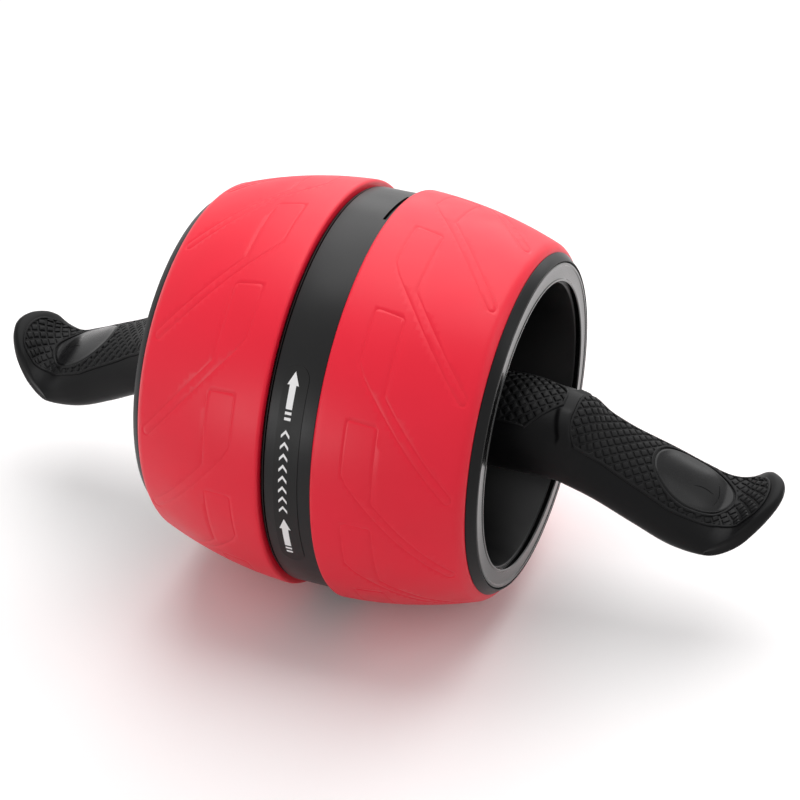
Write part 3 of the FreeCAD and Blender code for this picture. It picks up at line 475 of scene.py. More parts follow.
def tread_profile():
    """The tread's section: arc length, axial place, radius and outward direction at each station."""
    chord = Vector((TREAD_END - SHOULDER, TREAD_END_RADIUS - crown(SHOULDER)))
    across = Vector((-chord.y, chord.x)).normalized()
    sink = math.sqrt(SHOULDER_RADIUS ** 2 - (chord.length / 2) ** 2)
    centre = Vector((SHOULDER, crown(SHOULDER))) + chord / 2 - across * sink
    first = math.degrees(math.atan2(crown(SHOULDER) - centre.y, SHOULDER - centre.x))
    last = math.degrees(math.atan2(TREAD_END_RADIUS - centre.y, TREAD_END - centre.x))
    line = [(TREAD_START, AXLE_HEIGHT - EDGE_ROUND - drop) for drop in EDGE_DROPS]
    line += arc((CREST, AXLE_HEIGHT - EDGE_ROUND), EDGE_ROUND, 180, 90, EDGE_STEPS)
    line += [(x, crown(x)) for x in np.linspace(CREST, SHOULDER, CROWN_POINTS)[1:]]
    line += arc(centre, SHOULDER_RADIUS, first, last, EDGE_STEPS)[1:]
    line += [(TREAD_END, TREAD_END_RADIUS - END_DROP)]
    line = np.array(line)
    along = np.concatenate(([0], np.cumsum(np.hypot(*np.diff(line, axis=0).T))))
    slope = np.gradient(line, along, axis=0)
    normal = np.column_stack((-slope[:, 1], slope[:, 0]))
    normal /= np.linalg.norm(normal, axis=1)[:, None]
    return along, line, normal


def stepped(outline, step):
    """An outline with points added so that none of its edges is longer than the step."""
    points = []
    for start, end in zip(outline, outline[1:] + outline[:1]):
        start, end = Vector(start), Vector(end)
        count = max(1, math.ceil((end - start).length / step))
        points += [tuple(start.lerp(end, i / count)) for i in range(count)]
    return points


def line_cutter(along, line):
    """Ring-shaped tool with sloping sides for the incised line of one block."""
    corners = []
    for x, angle in BLOCK:
        flat_x = float(np.interp(x, line[:, 0], along))
        corners.append((flat_x, math.radians(angle + BLOCK_FIRST) * FLAT_RADIUS, LINE_CORNER))
    outline = stepped(rounded(corners), LINE_STEP)
    return sloped_ring("line_cutter", outline, LINE_WIDTH, CUTTER_TOP, 0, LINE_SLOPE, -LINE_DEPTH)


def make_tread():
    """Right tread with its incised lines."""
    along, line, normal = tread_profile()
    girth = 2 * math.pi * FLAT_RADIUS
    start_clean()
    bpy.ops.mesh.primitive_grid_add(x_subdivisions=len(along) - 1, y_subdivisions=TREAD_TURNS, size=2)
    tread = new_piece("tread_skin_right")
    flat = points_of(tread) * MM
    column = np.rint((flat[:, 0] + 1) / 2 * (len(along) - 1)).astype(int)
    flat[:, 0] = along[column]
    flat[:, 1] = (flat[:, 1] + 1) / 2 * girth
    move_points(tread, flat)
    edit()
    extrude(0, 0, -TREAD_THICKNESS)
    face_outwards()
    first = line_cutter(along, line)
    tools = [first]
    for place in [i for i in range(-2, 360 // BLOCK_PITCH) if i]:
        tool = twin_of(first, "line_cutter_copy")
        shift = math.radians(BLOCK_PITCH * place) * FLAT_RADIUS * MM
        tool.data.transform(Matrix.Translation((0, shift, 0)))
        tools.append(tool)
    apply_boolean(tread, joined("line_cutters", tools), "DIFFERENCE")
    # The two ends of the flat tread meet when it is wrapped, so their walls go.
    select_faces(tread, lambda face: abs(face.normal.y) > END_FACING and not (
        END_MARGIN * MM <= face.center.y <= (girth - END_MARGIN) * MM))
    bpy.ops.mesh.delete(type="ONLY_FACE")
    leave_edit()
    station, place, height = points_of(tread).T
    x = np.interp(station, along, line[:, 0]) + height * np.interp(station, along, normal[:, 0])
    radius = np.interp(station, along, line[:, 1]) + height * np.interp(station, along, normal[:, 1])
    move_points(tread, around(x, np.degrees(place / FLAT_RADIUS), radius))
    tidy(tread)
    smooth(tread)
    both_sides(tread, WHEEL, tread_rubber, "tread_red", "tread")


# Half drum: axial places, radii and walls.
LIP = 80.2
RIM_START = 76.2
RIM_RADIUS = 77.85
TRIM_BACK = 77.7
TRIM_SEAT = 74.1
LIP_WIDTH = 0.4
CUP_MOUTH = 64.2
CUP_FOOT = 59.06
CUP_FLOOR = 34
CUP_ROUND = 8
CUP_BACK_ROUND = 11
SHELL_WALL = 3
WALL_SEAT = 5.1
WALL_END = 70
WALL_POINTS = 12
INSIDE_POINTS = 10
BAND_SEAT = BAND_RADIUS - 2.85
END_WALL = 74.6
END_WALL_TOP = 72
CUP_BACK_MOUTH = 67.2
CUP_BACK_FOOT = 61.7
HUB_START = 22
HUB_END = 36
HUB_RADIUS = 16
HUB_BORE = 10.5
# Key tab of the right half drum: its arc in degrees, and its section.
TAB_START = 91.6
TAB_ARC = 17.8
TAB_RADIUS = 90.2
TAB_FOOT = BAND_RADIUS - 5
TAB_LEFT = 9.3
TAB_RIGHT = 11.9
TAB_BEVEL = 0.3
ARC_STEPS = 12


def turn_to(piece, angle):
    """Turns a piece made at the top of the wheel so that it starts at this angle."""
    lift = Matrix.Translation((0, 0, AXLE_HEIGHT * MM))
    piece.data.transform(lift @ Matrix.Rotation(math.radians(angle - 90), 4, "X") @ lift.inverted())


def make_shell():
    """Half drum: barrel wall, end lip, cup and hub boss, with softened moulded edges."""
    outside = np.linspace(RIM_START, TREAD_START, WALL_POINTS)
    inside = np.linspace(TREAD_START, WALL_END, INSIDE_POINTS)
    cup_back = CUP_FLOOR - SHELL_WALL
    # Corners of the section: axial place, radius, and the round that softens it.
    corners = [(x, crown(x) - WALL_SEAT, 0) for x in outside]
    corners += [(TREAD_START, BAND_SEAT, 0), (0, BAND_SEAT, 0), (0, BAND_SEAT - SHELL_WALL, 0),
                (TREAD_START, BAND_SEAT - SHELL_WALL, 0)]
    corners += [(x, crown(x) - WALL_SEAT - SHELL_WALL, 0) for x in inside]
    corners += [(END_WALL, END_WALL_TOP, 0), (END_WALL, CUP_BACK_MOUTH, 0),
                (cup_back, CUP_BACK_FOOT, CUP_BACK_ROUND), (cup_back, HUB_RADIUS, 0),
                (HUB_START, HUB_RADIUS, 0), (HUB_START, HUB_BORE, 0),
                (HUB_END, HUB_BORE, 0.3), (HUB_END, HUB_RADIUS, 0.5), (CUP_FLOOR, HUB_RADIUS, 0.8),
                (CUP_FLOOR, CUP_FOOT, CUP_ROUND), (TRIM_BACK, CUP_MOUTH, 0.6), (TRIM_BACK, TRIM_SEAT, 0),
                (LIP, TRIM_SEAT, 0.15), (LIP, TRIM_SEAT + LIP_WIDTH, 0.5), (RIM_START, RIM_RADIUS, 0.3)]
    shell = turned("wheel_shell_form_right", rounded(corners))
    smooth(shell, angle=40)
    twin = mirrored(shell, "wheel_shell_form_left")
    bevel_foot = TAB_RADIUS - TAB_BEVEL
    tab = turned("key_tab", [
        (TAB_LEFT, TAB_FOOT), (TAB_LEFT, bevel_foot), (TAB_LEFT + TAB_BEVEL, TAB_RADIUS),
        (TAB_RIGHT - TAB_BEVEL, TAB_RADIUS), (TAB_RIGHT, bevel_foot), (TAB_RIGHT, TAB_FOOT),
    ], ARC_STEPS, TAB_ARC)
    turn_to(tab, TAB_START)
    smooth(tab)
    shell = joined("wheel_shell_form_right", [shell, tab])
    fit(shell, WHEEL, satin_abs, "shell_black", "wheel_shell_right")
    fit(twin, WHEEL, satin_abs, "shell_black", "wheel_shell_left")


BAND_HALF = 11.6
BAND_THICKNESS = 2.8
EDGE_FALL = 0.6
LIP_FALL = 0.1
GROOVE_START = 1.1
GROOVE_END = 1.7
GROOVE_DEPTH = 1.4
NOTCH_START = 8.8
NOTCH_SPARE = 0.5
NOTCH_OVERCUT = 1


def make_band():
    """Centre band with a groove inside its left edge and the notch for the key tab in its right edge."""
    foot = BAND_RADIUS - BAND_THICKNESS
    groove_floor = BAND_RADIUS - GROOVE_DEPTH
    band = turned("centre_band_form", rounded([
        (-BAND_HALF, foot, 0), (-BAND_HALF, BAND_RADIUS - EDGE_FALL, 0.25),
        (-BAND_HALF + GROOVE_START, BAND_RADIUS - LIP_FALL, 0.2),
        (-BAND_HALF + GROOVE_START, groove_floor, 0),
        (-BAND_HALF + GROOVE_END, groove_floor, 0), (-BAND_HALF + GROOVE_END, BAND_RADIUS, 0.25),
        (BAND_HALF, BAND_RADIUS, 0.5), (BAND_HALF, foot, 0)]))
    spare = math.degrees(NOTCH_SPARE / TAB_RADIUS)
    low, top, end = foot - NOTCH_OVERCUT, BAND_RADIUS + NOTCH_OVERCUT, BAND_HALF + NOTCH_OVERCUT
    notch = turned("notch_cutter", [(NOTCH_START, low), (NOTCH_START, top), (end, top), (end, low)],
                   ARC_STEPS, TAB_ARC + 2 * spare)
    turn_to(notch, TAB_START - spare)
    apply_boolean(band, notch, "DIFFERENCE")
    smooth(band, angle=40)
    fit(band, WHEEL, band_abs, "band_black", "centre_band")


SCREW_CIRCLE = 47
SCREW_COUNT = 6
SCREW_HEAD = 3.8
SCREW_HEAD_HEIGHT = 2.6
SCREW_SHANK = 2
SCREW_END = -20
SHANK_LAP = 0.5
HEAD_FACING = 0.9
# Steps of the head's dome from its edge: in, and up.
SCREW_DOME = ((0.25, 0.22), (0.5, 0.18), (0.9, 0.1))
RECESS_DEPTH = 1.5
RECESS_LENGTH = 4.2
RECESS_WIDTH = 0.9


def rod(name, radius, start, end):
    """A round bar along the wheel's axis, at the top of the screw circle."""
    start_clean()
    middle = ((start + end) / 2 * MM, 0, (AXLE_HEIGHT + SCREW_CIRCLE) * MM)
    bpy.ops.mesh.primitive_cylinder_add(vertices=40, radius=radius * MM, depth=(end - start) * MM,
                                        location=middle, rotation=(0, math.pi / 2, 0))
    return new_piece(name)


def make_screws():
    """Pan-head screws with a cross recess, one modelled and turned to the other places."""
    top = CUP_FLOOR + SCREW_HEAD_HEIGHT
    head = rod("screw_head", SCREW_HEAD, CUP_FLOOR, top - sum(upward for _, upward in SCREW_DOME))
    select_faces(head, lambda face: face.normal.x > HEAD_FACING)
    for inward, upward in SCREW_DOME:
        bpy.ops.mesh.inset(thickness=inward * MM, depth=upward * MM)
    leave_edit()
    for size in ((RECESS_DEPTH, RECESS_LENGTH, RECESS_WIDTH), (RECESS_DEPTH, RECESS_WIDTH, RECESS_LENGTH)):
        start_clean()
        place = (top * MM, 0, (AXLE_HEIGHT + SCREW_CIRCLE) * MM)
        bpy.ops.mesh.primitive_cube_add(size=MM, location=place, scale=size)
        apply_boolean(head, new_piece("recess_arm"), "DIFFERENCE")
    shank = rod("screw_shank", SCREW_SHANK, SCREW_END, CUP_FLOOR + SHANK_LAP)
    screw = joined("screw", [head, shank])
    screws = [screw]
    for index in range(1, SCREW_COUNT):
        twin = twin_of(screw, "screw_copy")
        turn_to(twin, 90 + 360 / SCREW_COUNT * index)
        screws.append(twin)
    screws = joined("cup_screws", screws)
    tidy(screws)
    smooth(screws, angle=30)
    fit(screws, WHEEL, screw_steel, "steel", "shell_screws")


TRIM_INNER = 65.2
TRIM_OUTER = 73.6
TRIM_GAP = 0.05
TRIM_BED = 0.35
OUTER_RIM = 1.2
INNER_RIM = 1.0
RIM_SLOPE = 0.4


def make_trim():
    """Polished ring in the end face, with a bright bevel at its opening and a shallow bed."""
    back, bed = TRIM_BACK + TRIM_GAP, LIP - TRIM_BED
    outer, inner = TRIM_OUTER - OUTER_RIM, TRIM_INNER + INNER_RIM
    ring = turned("polished_ring_right", rounded([
        (back, TRIM_INNER, 0), (back, TRIM_OUTER, 0), (LIP, TRIM_OUTER, 0.5), (LIP, outer, 0.15),
        (bed, outer - RIM_SLOPE, 0.15), (bed, inner + RIM_SLOPE, 0.15), (LIP, inner, 0.15),
        (LIP, TRIM_INNER, 0.5)]))
    smooth(ring, angle=50)
    both_sides(ring, WHEEL, gloss_abs, "trim_black", "trim_ring")


# White print on the label: two arrows with speed dashes, and plain chevrons between them.
PRINT_MIDDLE = -1.1
PRINT_RADIUS = 91.34
INK_THICKNESS = 0.05
INK_MERGE = 0.0005
BEND_STEP = 1.0
# Arrows, in degrees round the wheel: tip, base of the head, end of the shaft and end of the dashes.
ARROWS = ((143.8, 147.5, 154.0, 157.1), (187.0, 190.8, 197.8, 201.0))
ARROW_HEAD = 2.6
ARROW_SHAFT = 1.45
DASH_COUNT = 2
DASH_START = 0.45
DASH_SHARE = 0.5
# Chevrons: the degrees they fill, half width, slant, and thickness at the side and in the middle.
CHEVRONS_FROM = 159.6
CHEVRONS_TO = 185.6
CHEVRON_COUNT = 8
CHEVRON_HALF = 1.9
CHEVRON_SLANT = 1.5
CHEVRON_SIDE = 0.9
CHEVRON_MIDDLE = 0.95


def print_mark(outline):
    """One flat mark, outline in (place across, degrees), cut so that it bends smoothly."""
    points = [(x, math.radians(angle) * PRINT_RADIUS, 0) for x, angle in outline]
    drawn_face("print_mark", points)
    edit()
    angles = [angle for _, angle in outline]
    for angle in np.arange(min(angles) + BEND_STEP, max(angles), BEND_STEP):
        bpy.ops.mesh.select_all(action="SELECT")
        bpy.ops.mesh.bisect(plane_co=(0, math.radians(angle) * PRINT_RADIUS * MM, 0), plane_no=(0, 1, 0))
    return leave_edit()


def make_print():
    """All the label's marks as one thin layer of ink."""
    marks = []
    for tip, base, tail, dashes_end in ARROWS:
        marks.append(print_mark([(0, tip), (ARROW_HEAD, base), (ARROW_SHAFT, base), (ARROW_SHAFT, tail),
                                 (-ARROW_SHAFT, tail), (-ARROW_SHAFT, base), (-ARROW_HEAD, base)]))
        pitch = (dashes_end - tail) / DASH_COUNT
        for index in range(DASH_COUNT):
            start = tail + pitch * (index + DASH_START)
            end = start + pitch * DASH_SHARE
            marks.append(print_mark([(-ARROW_SHAFT, start), (ARROW_SHAFT, start), (ARROW_SHAFT, end),
                                     (-ARROW_SHAFT, end)]))
    for index in range(CHEVRON_COUNT):
        start = CHEVRONS_FROM + index * (CHEVRONS_TO - CHEVRONS_FROM) / CHEVRON_COUNT
        side = start + CHEVRON_SLANT
        marks.append(print_mark([
            (0, start), (CHEVRON_HALF, side), (CHEVRON_HALF, side + CHEVRON_SIDE),
            (0, start + CHEVRON_MIDDLE), (-CHEVRON_HALF, side + CHEVRON_SIDE), (-CHEVRON_HALF, side)]))
    ink = joined("direction_print", marks)
    edit()
    extrude(0, 0, INK_THICKNESS)
    leave_edit()
    flat = points_of(ink)
    move_points(ink, around(flat[:, 0] + PRINT_MIDDLE, np.degrees(flat[:, 1] / PRINT_RADIUS),
                            PRINT_RADIUS + flat[:, 2]))
    tidy(ink, INK_MERGE)
    fit(ink, WHEEL, label_ink, "label_black")


# Handles


SWING = math.radians(14)
# Stations of the right handle: reach, lean, drop, half width, height over and depth under the centre line.
STATIONS = np.array([
    (40.8, 0, 0, 20.5, 20.5, 20.5),
    (52, 0, 0, 20.5, 20.5, 20.5),
    (63, 0, 0, 20.6, 20.8, 20.5),
    (75, 0, 0.2, 20.9, 21.0, 20.0),
    (86, 0.2, 1.3, 21, 19.8, 18.4),
    (96, 0.6, 3.8, 21, 20.0, 16.0),
    (103, 0.9, 7.4, 20.8, 16.6, 14.0),
    (116, 1.4, 14.0, 20.8, 13.4, 13.2),
    (134, 2.4, 24.8, 21.6, 13.6, 13.2),
    (150, 2.6, 32.8, 22.6, 12.2, 12.2),
    (163, 3.6, 36.8, 23.0, 8.2, 7.2),
    (174, 4.6, 34.0, 23.0, 5.0, 4.4),
    (183, 6.0, 26.2, 23.2, 3.4, 3.4),
    (190.5, 8.0, 20.4, 23.6, 2.8, 3.0),
])
LAST = len(STATIONS) - 1
SQUARENESS = 2.2
END_ROUND = 0.5
# The flared end is an arc seen from above: how many stations its front and back corners fall short.
FRONT_CUT = 2.95
BACK_CUT = 1.35
CUT_MIDDLE = 0.1
CUT_START = 8.0
CUT_EASE = 1.5
END_NARROWING = 0.04


def stations_at(t):
    """Smooth values between the stations, at fractional station numbers."""
    t = np.clip(t, 0, LAST)
    low = np.minimum(t.astype(int), LAST - 1)
    part = (t - low)[..., None]
    before, here = STATIONS[np.maximum(low - 1, 0)], STATIONS[low]
    there, after = STATIONS[low + 1], STATIONS[np.minimum(low + 2, LAST)]
    gap = there[..., :1] - here[..., :1]
    leave = (there - before) / (there[..., :1] - before[..., :1]) * gap
    arrive = (after - here) / (after[..., :1] - here[..., :1]) * gap
    square, cube = part ** 2, part ** 3
    return ((2 * cube - 3 * square + 1) * here + (cube - 2 * square + part) * leave
            + (3 * square - 2 * cube) * there + (cube - square) * arrive)


def handle_surface(t, turn):
    """Points of the right handle at station numbers and at angles round the section, back to top."""
    across, up = np.cos(turn), np.sin(turn)
    across = np.sign(across) * np.abs(across) ** (2 / SQUARENESS)
    up = np.sign(up) * np.abs(up) ** (2 / SQUARENESS)
    cut = np.where(across < CUT_MIDDLE, FRONT_CUT * ((CUT_MIDDLE - across) / (1 + CUT_MIDDLE)) ** 2,
                   BACK_CUT * ((across - CUT_MIDDLE) / (1 - CUT_MIDDLE)) ** 2)
    place = t - np.clip((t - CUT_START) / (LAST - CUT_START), 0, 1) ** CUT_EASE * cut
    reach, lean, drop, width, over, under = np.moveaxis(stations_at(place), -1, 0)
    small = 0.01
    ahead, behind = stations_at(place + small), stations_at(place - small)
    slope = np.arctan2(behind[..., 2] - ahead[..., 2], ahead[..., 0] - behind[..., 0])
    closing = np.sqrt(np.maximum(1 - np.clip((t - LAST + END_ROUND) / END_ROUND, 0, 1) ** 2, 0))
    side = width * across * (1 - END_NARROWING * (1 - closing))
    rise = np.where(up > 0, over, under) * up * closing
    x = reach - rise * np.sin(slope)
    y = lean + side
    z = rise * np.cos(slope) - drop
    return np.stack((x, y * math.cos(SWING) - z * math.sin(SWING),
                     AXLE_HEIGHT + y * math.sin(SWING) + z * math.cos(SWING)), -1)


def handle_normal(t, turn):
    """Outward directions of the handle's surface."""
    small = 0.004
    t = np.minimum(t, LAST - END_ROUND - 2 * small)
    along = handle_surface(t + small, turn) - handle_surface(t - small, turn)
    round_it = handle_surface(t, turn + small) - handle_surface(t, turn - small)
    normal = np.cross(round_it, along)
    return normal / np.linalg.norm(normal, axis=-1)[..., None]


# Flat layout of the handle's top: distance along its ridge, and distance across from that ridge.
LAYOUT_MARGIN = 0.35
LAYOUT_T = np.linspace(0, LAST - END_ROUND, 400)
LAYOUT_TURN = np.linspace(-LAYOUT_MARGIN, math.pi + LAYOUT_MARGIN, 161)


def handle_layout():
    """Tables of the distance along the ridge, and across it at each station."""
    ridge = handle_surface(LAYOUT_T, np.full_like(LAYOUT_T, math.pi / 2))
    along = np.concatenate(([0], np.cumsum(np.linalg.norm(np.diff(ridge, axis=0), axis=1))))
    grid = handle_surface(*np.broadcast_arrays(LAYOUT_T[:, None], LAYOUT_TURN[None, :]))
    step = np.linalg.norm(np.diff(grid, axis=1), axis=2)
    across = np.concatenate((np.zeros((len(LAYOUT_T), 1)), np.cumsum(step, axis=1)), axis=1)
    return along, across - across[:, len(LAYOUT_TURN) // 2, None]


RIDGE, GIRTH = handle_layout()


def layout_row(along):
    """Station number at a distance along the ridge, and the nearest row of the layout's table."""
    t = np.interp(along, RIDGE, LAYOUT_T)
    return t, np.rint(t / LAYOUT_T[-1] * (len(LAYOUT_T) - 1)).astype(int)


def wrap_on_handle(piece):
    """Wraps a flat piece, (along, across, height), on the right handle's top."""
    flat = points_of(piece)
    t, rows = layout_row(flat[:, 0])
    turn = np.array([np.interp(across, GIRTH[row], LAYOUT_TURN) for across, row in zip(flat[:, 1], rows)])
    move_points(piece, handle_surface(t, turn) + handle_normal(t, turn) * flat[:, 2:])


# Guard rib between neck and grip: station of its middle at the ridge and at the seam, and its form.
RIB_AT_RIDGE = 4.52
RIB_AT_SEAM = 4.85
RIB_HALF = 0.3
RIB_EDGE = 0.16
RIB_RISE = 1.0
RIB_SPREAD = math.radians(42)
RIB_CLEAR_FRONT = math.radians(2)
RIB_CLEAR_BACK = math.radians(34)
RIB_FADE = math.radians(7)
RIB_TAIL = 0.3
# Columns of the form's grid on which the two parting lines of the underside run.
CORE_ROWS = 260
CORE_COLUMNS = 128
PARTING_COLUMNS = (88, 104)
PARTING_DEPTH = 0.35
# Stations over which the relief fades out at the flared end.
RELIEF_FADE = 0.5


def core_relief(t, turn):
    """Height of the guard rib, and depth of the parting lines, over the plain form."""
    aside = np.abs(turn - math.pi / 2)
    middle = RIB_AT_RIDGE + (RIB_AT_SEAM - RIB_AT_RIDGE) * np.minimum(aside / RIB_SPREAD, 1) ** 2
    rise = np.clip((RIB_HALF - np.abs(t - middle)) / RIB_EDGE, 0, 1)
    fade = np.clip(((1 + RIB_TAIL) * RIB_SPREAD - aside) / (RIB_TAIL * RIB_SPREAD), 0, 1)
    clear = np.where(turn < math.pi / 2, RIB_CLEAR_BACK, RIB_CLEAR_FRONT)
    fade *= np.clip((aside - clear) / RIB_FADE, 0, 1)
    column = np.rint(turn / (2 * math.pi) * CORE_COLUMNS)
    rib = RIB_RISE * rise * rise * (3 - 2 * rise) * fade
    return rib - PARTING_DEPTH * np.isin(column, PARTING_COLUMNS)


def make_core():
    """Smooth form of the handle, from the neck's inner end to the flared tip."""
    start_clean()
    bpy.ops.mesh.primitive_grid_add(x_subdivisions=CORE_ROWS, y_subdivisions=CORE_COLUMNS, size=2)
    core = new_piece("handle_form_right")
    flat = points_of(core) * MM
    t = (flat[:, 0] + 1) / 2 * LAST
    turn = (flat[:, 1] + 1) * math.pi
    fade_out = np.clip((LAST - END_ROUND - t) / RELIEF_FADE, 0, 1)
    height = core_relief(t, turn) * fade_out
    move_points(core, handle_surface(t, turn) + handle_normal(t, turn) * height[:, None])
    tidy(core)
    edit()
    bpy.ops.mesh.select_all(action="DESELECT")
    bpy.ops.mesh.select_non_manifold()
    bpy.ops.mesh.edge_face_add()
    face_outwards()
    smooth(core, angle=40)
    both_sides(core, HANDLES, handle_plastic, "handle_black", "handle_core")


# Seam between the textured top and the smooth side: station and angle round the section.
SEAM_STATIONS = (0, 3.5, 4.8, 6.6, 8.4, 10.8, 13)
SEAM_FRONT = (134, 134, 137, 129, 136, 119, 116)
SEAM_BACK = (134, 134, 137, 131, 151, 151, 140)
PAD_SIDE_POINTS = 31
PAD_END_POINTS = 15


def seam_across(along, side):
    """Distance across from the ridge to the seam, on the front (1) or the back (-1) of the handle."""
    t, row = layout_row(along)
    aside = math.radians(np.interp(t, SEAM_STATIONS, SEAM_FRONT if side > 0 else SEAM_BACK) - 90)
    return float(np.interp(math.pi / 2 + side * aside, LAYOUT_TURN, GIRTH[row]))


def pad_outline(at_ridge, at_seam, front_power, back_power):
    """Outline of a pad on the flat layout, from where it starts and ends at the ridge and at the seams."""
    edges = []
    for side in (1, -1):
        edges.append([(u, seam_across(u, side)) for u in np.linspace(*at_seam, PAD_SIDE_POINTS)])
    ends = []
    for ridge, seam in zip(at_ridge, at_seam):
        reach = [seam_across(seam, side) for side in (1, -1)]
        across = np.linspace(1, -1, PAD_END_POINTS)[1:-1]
        end = []
        for k in across:
            share = k ** front_power if k > 0 else abs(k) ** back_power
            end.append((ridge + (seam - ridge) * share, reach[0] * k if k > 0 else -reach[1] * k))
        ends.append(end)
    return edges[0] + ends[1] + edges[1][::-1] + ends[0][::-1]


def prism(name, outline, low, high):
    """A block with this flat outline between two heights."""
    drawn_face(name, [(x, y, low) for x, y in outline])
    edit()
    extrude(0, 0, high - low)
    return face_outwards()


BEAD_SLOPE = 0.3
BEAD_RISE = 0.2


def bead(name, outline, width, low, high):
    """A thin raised line inside a flat outline. Its slopes and crest are shares of its width."""
    return sloped_ring(name, outline, width, low, high, BEAD_SLOPE * width, BEAD_RISE * width, even=False)


def oval(centre, half_length, half_width, count=72):
    """Points of an ellipse on the flat layout."""
    turns = [2 * math.pi * i / count for i in range(count)]
    return [(centre[0] + half_length * math.cos(a), centre[1] + half_width * math.sin(a)) for a in turns]


DIAMOND = 3.8
# Steps of a diamond from its edge to its top, along its diagonal: in, and up. The first is the groove.
DIAMOND_STEPS = ((0.55, 0), (0.4, 0.42), (0.35, 0.14), (0.55, 0.06))
PAD_SINK = 1.5
PAD_BASE = 0.05
PAD_REACH = 4
BEAD_WIDTH = 1.3
BEAD_TOP = 0.45


def shrunk(outline, inward):
    """An outline moved inwards by a small distance."""
    points = np.array(outline)
    along = np.roll(points, -1, axis=0) - np.roll(points, 1, axis=0)
    across = np.column_stack((-along[:, 1], along[:, 0])) / np.linalg.norm(along, axis=1)[:, None]
    ahead = np.roll(points, -1, axis=0)
    turning = np.sign(np.sum(points[:, 0] * ahead[:, 1] - ahead[:, 0] * points[:, 1]))
    return [tuple(point) for point in points + across * turning * inward]


def diamond_pad(name, outline, hole_size=None):
    """A pad of raised diamonds that run into a bead: a slanted grid, each cell inset and lifted."""
    low = np.min(outline, axis=0)
    high = np.max(outline, axis=0)
    middle = (low + high) / 2
    cells = 2 * math.ceil((np.linalg.norm(high - low) + 4 * DIAMOND) / DIAMOND / 2)
    start_clean()
    bpy.ops.mesh.primitive_grid_add(x_subdivisions=cells, y_subdivisions=cells, size=cells * DIAMOND * MM,
                                    location=(middle[0] * MM, middle[1] * MM, -PAD_SINK * MM),
                                    rotation=(0, 0, math.radians(45)))
    pad = new_piece(name)
    edit()
    extrude(0, 0, PAD_SINK + PAD_BASE)
    bpy.ops.mesh.select_mode(type="FACE")
    for step, rise in DIAMOND_STEPS:
        bpy.ops.mesh.inset(thickness=step * MM, depth=rise * MM, use_individual=True, use_even_offset=False)
    leave_edit()
    tidy(pad)
    trimmed = shrunk(outline, BEAD_WIDTH / 2)
    apply_boolean(pad, prism("pad_block", trimmed, -PAD_REACH, PAD_REACH), "INTERSECT")
    lines = [bead("pad_bead", outline, BEAD_WIDTH, -PAD_SINK, BEAD_TOP)]
    if hole_size:
        opening = oval(OVAL_CENTRE, *[half + BEAD_WIDTH / 2 for half in hole_size])
        apply_boolean(pad, prism("pad_hole", opening, -PAD_REACH, PAD_REACH), "DIFFERENCE")
        around_hole = oval(OVAL_CENTRE, *[half + BEAD_WIDTH for half in hole_size])
        lines.append(bead("hole_bead", around_hole, BEAD_WIDTH, -PAD_SINK, BEAD_TOP))
    pad = joined(name, [pad] + lines)
    wrap_on_handle(pad)
    tidy(pad)
    smooth(pad, angle=25)
    return pad


OVAL_CENTRE = (123.4, -4)
OVAL_HALF = (20.5, 15)
OVAL_GAP = 0.5
# Rings of the palm oval from its middle outwards: share of its size, and height. A rim stands round a dish.
OVAL_RINGS = ((0.08, 0.24), (0.2, 0.23), (0.32, 0.22), (0.44, 0.2), (0.56, 0.19), (0.68, 0.18), (0.8, 0.19),
              (0.89, 0.22), (0.925, 0.32), (0.955, 0.38), (0.98, 0.3), (1.0, 0.02))
CREASE_WIDTH = 0.5
CREASE_DEPTH = 0.3
CREASE_END = 0.3
CREASE_TOP = 3
CREASE_POINTS = 9
# Creases of the palm oval: start, end and bow.
CREASES = (((136, 3), (135.5, -9), 1.2), ((134, -2.5), (124, -1), 0.8))


def crease(start, end, bow):
    """Outline of a fine curved crease between two places on the flat layout."""
    line = np.array(end) - np.array(start)
    across = np.array((-line[1], line[0])) / np.linalg.norm(line)
    sides = []
    for width in (CREASE_WIDTH / 2, -CREASE_WIDTH / 2):
        side = []
        for share in np.linspace(0, 1, CREASE_POINTS):
            swell = 4 * share * (1 - share)
            aside = bow * swell + width * (CREASE_END + (1 - CREASE_END) * swell)
            side.append(tuple(np.array(start) + line * share + across * aside))
        sides.append(side)
    return sides[0] + sides[1][::-1]


def make_oval():
    """Smooth palm oval, drawn from its middle outwards, with a rim, a shallow dish and fine creases."""
    share, height = OVAL_RINGS[0]
    middle = oval(OVAL_CENTRE, OVAL_HALF[0] * share, OVAL_HALF[1] * share)
    piece = drawn_face("palm_oval_right", [(x, y, height) for x, y in middle])
    centre = (OVAL_CENTRE[0] * MM, OVAL_CENTRE[1] * MM, 0)
    edit()
    bpy.ops.mesh.poke()
    bpy.ops.mesh.select_all(action="SELECT")
    bpy.ops.mesh.select_mode(type="EDGE")
    bpy.ops.mesh.region_to_loop()
    for (share_before, height_before), (share, height) in zip(OVAL_RINGS, OVAL_RINGS[1:]):
        extrude(0, 0, height - height_before)
        grow = share / share_before
        bpy.ops.transform.resize(value=(grow, grow, 1), center_override=centre)
    extrude(0, 0, -PAD_SINK)
    bpy.ops.mesh.edge_face_add()
    face_outwards()
    crease_floor = OVAL_RINGS[0][1] - CREASE_DEPTH
    for line in CREASES:
        apply_boolean(piece, prism("crease", crease(*line), crease_floor, CREASE_TOP), "DIFFERENCE")
    wrap_on_handle(piece)
    tidy(piece)
    smooth(piece, angle=40)
    both_sides(piece, HANDLES, oval_rubber, "grip_black")


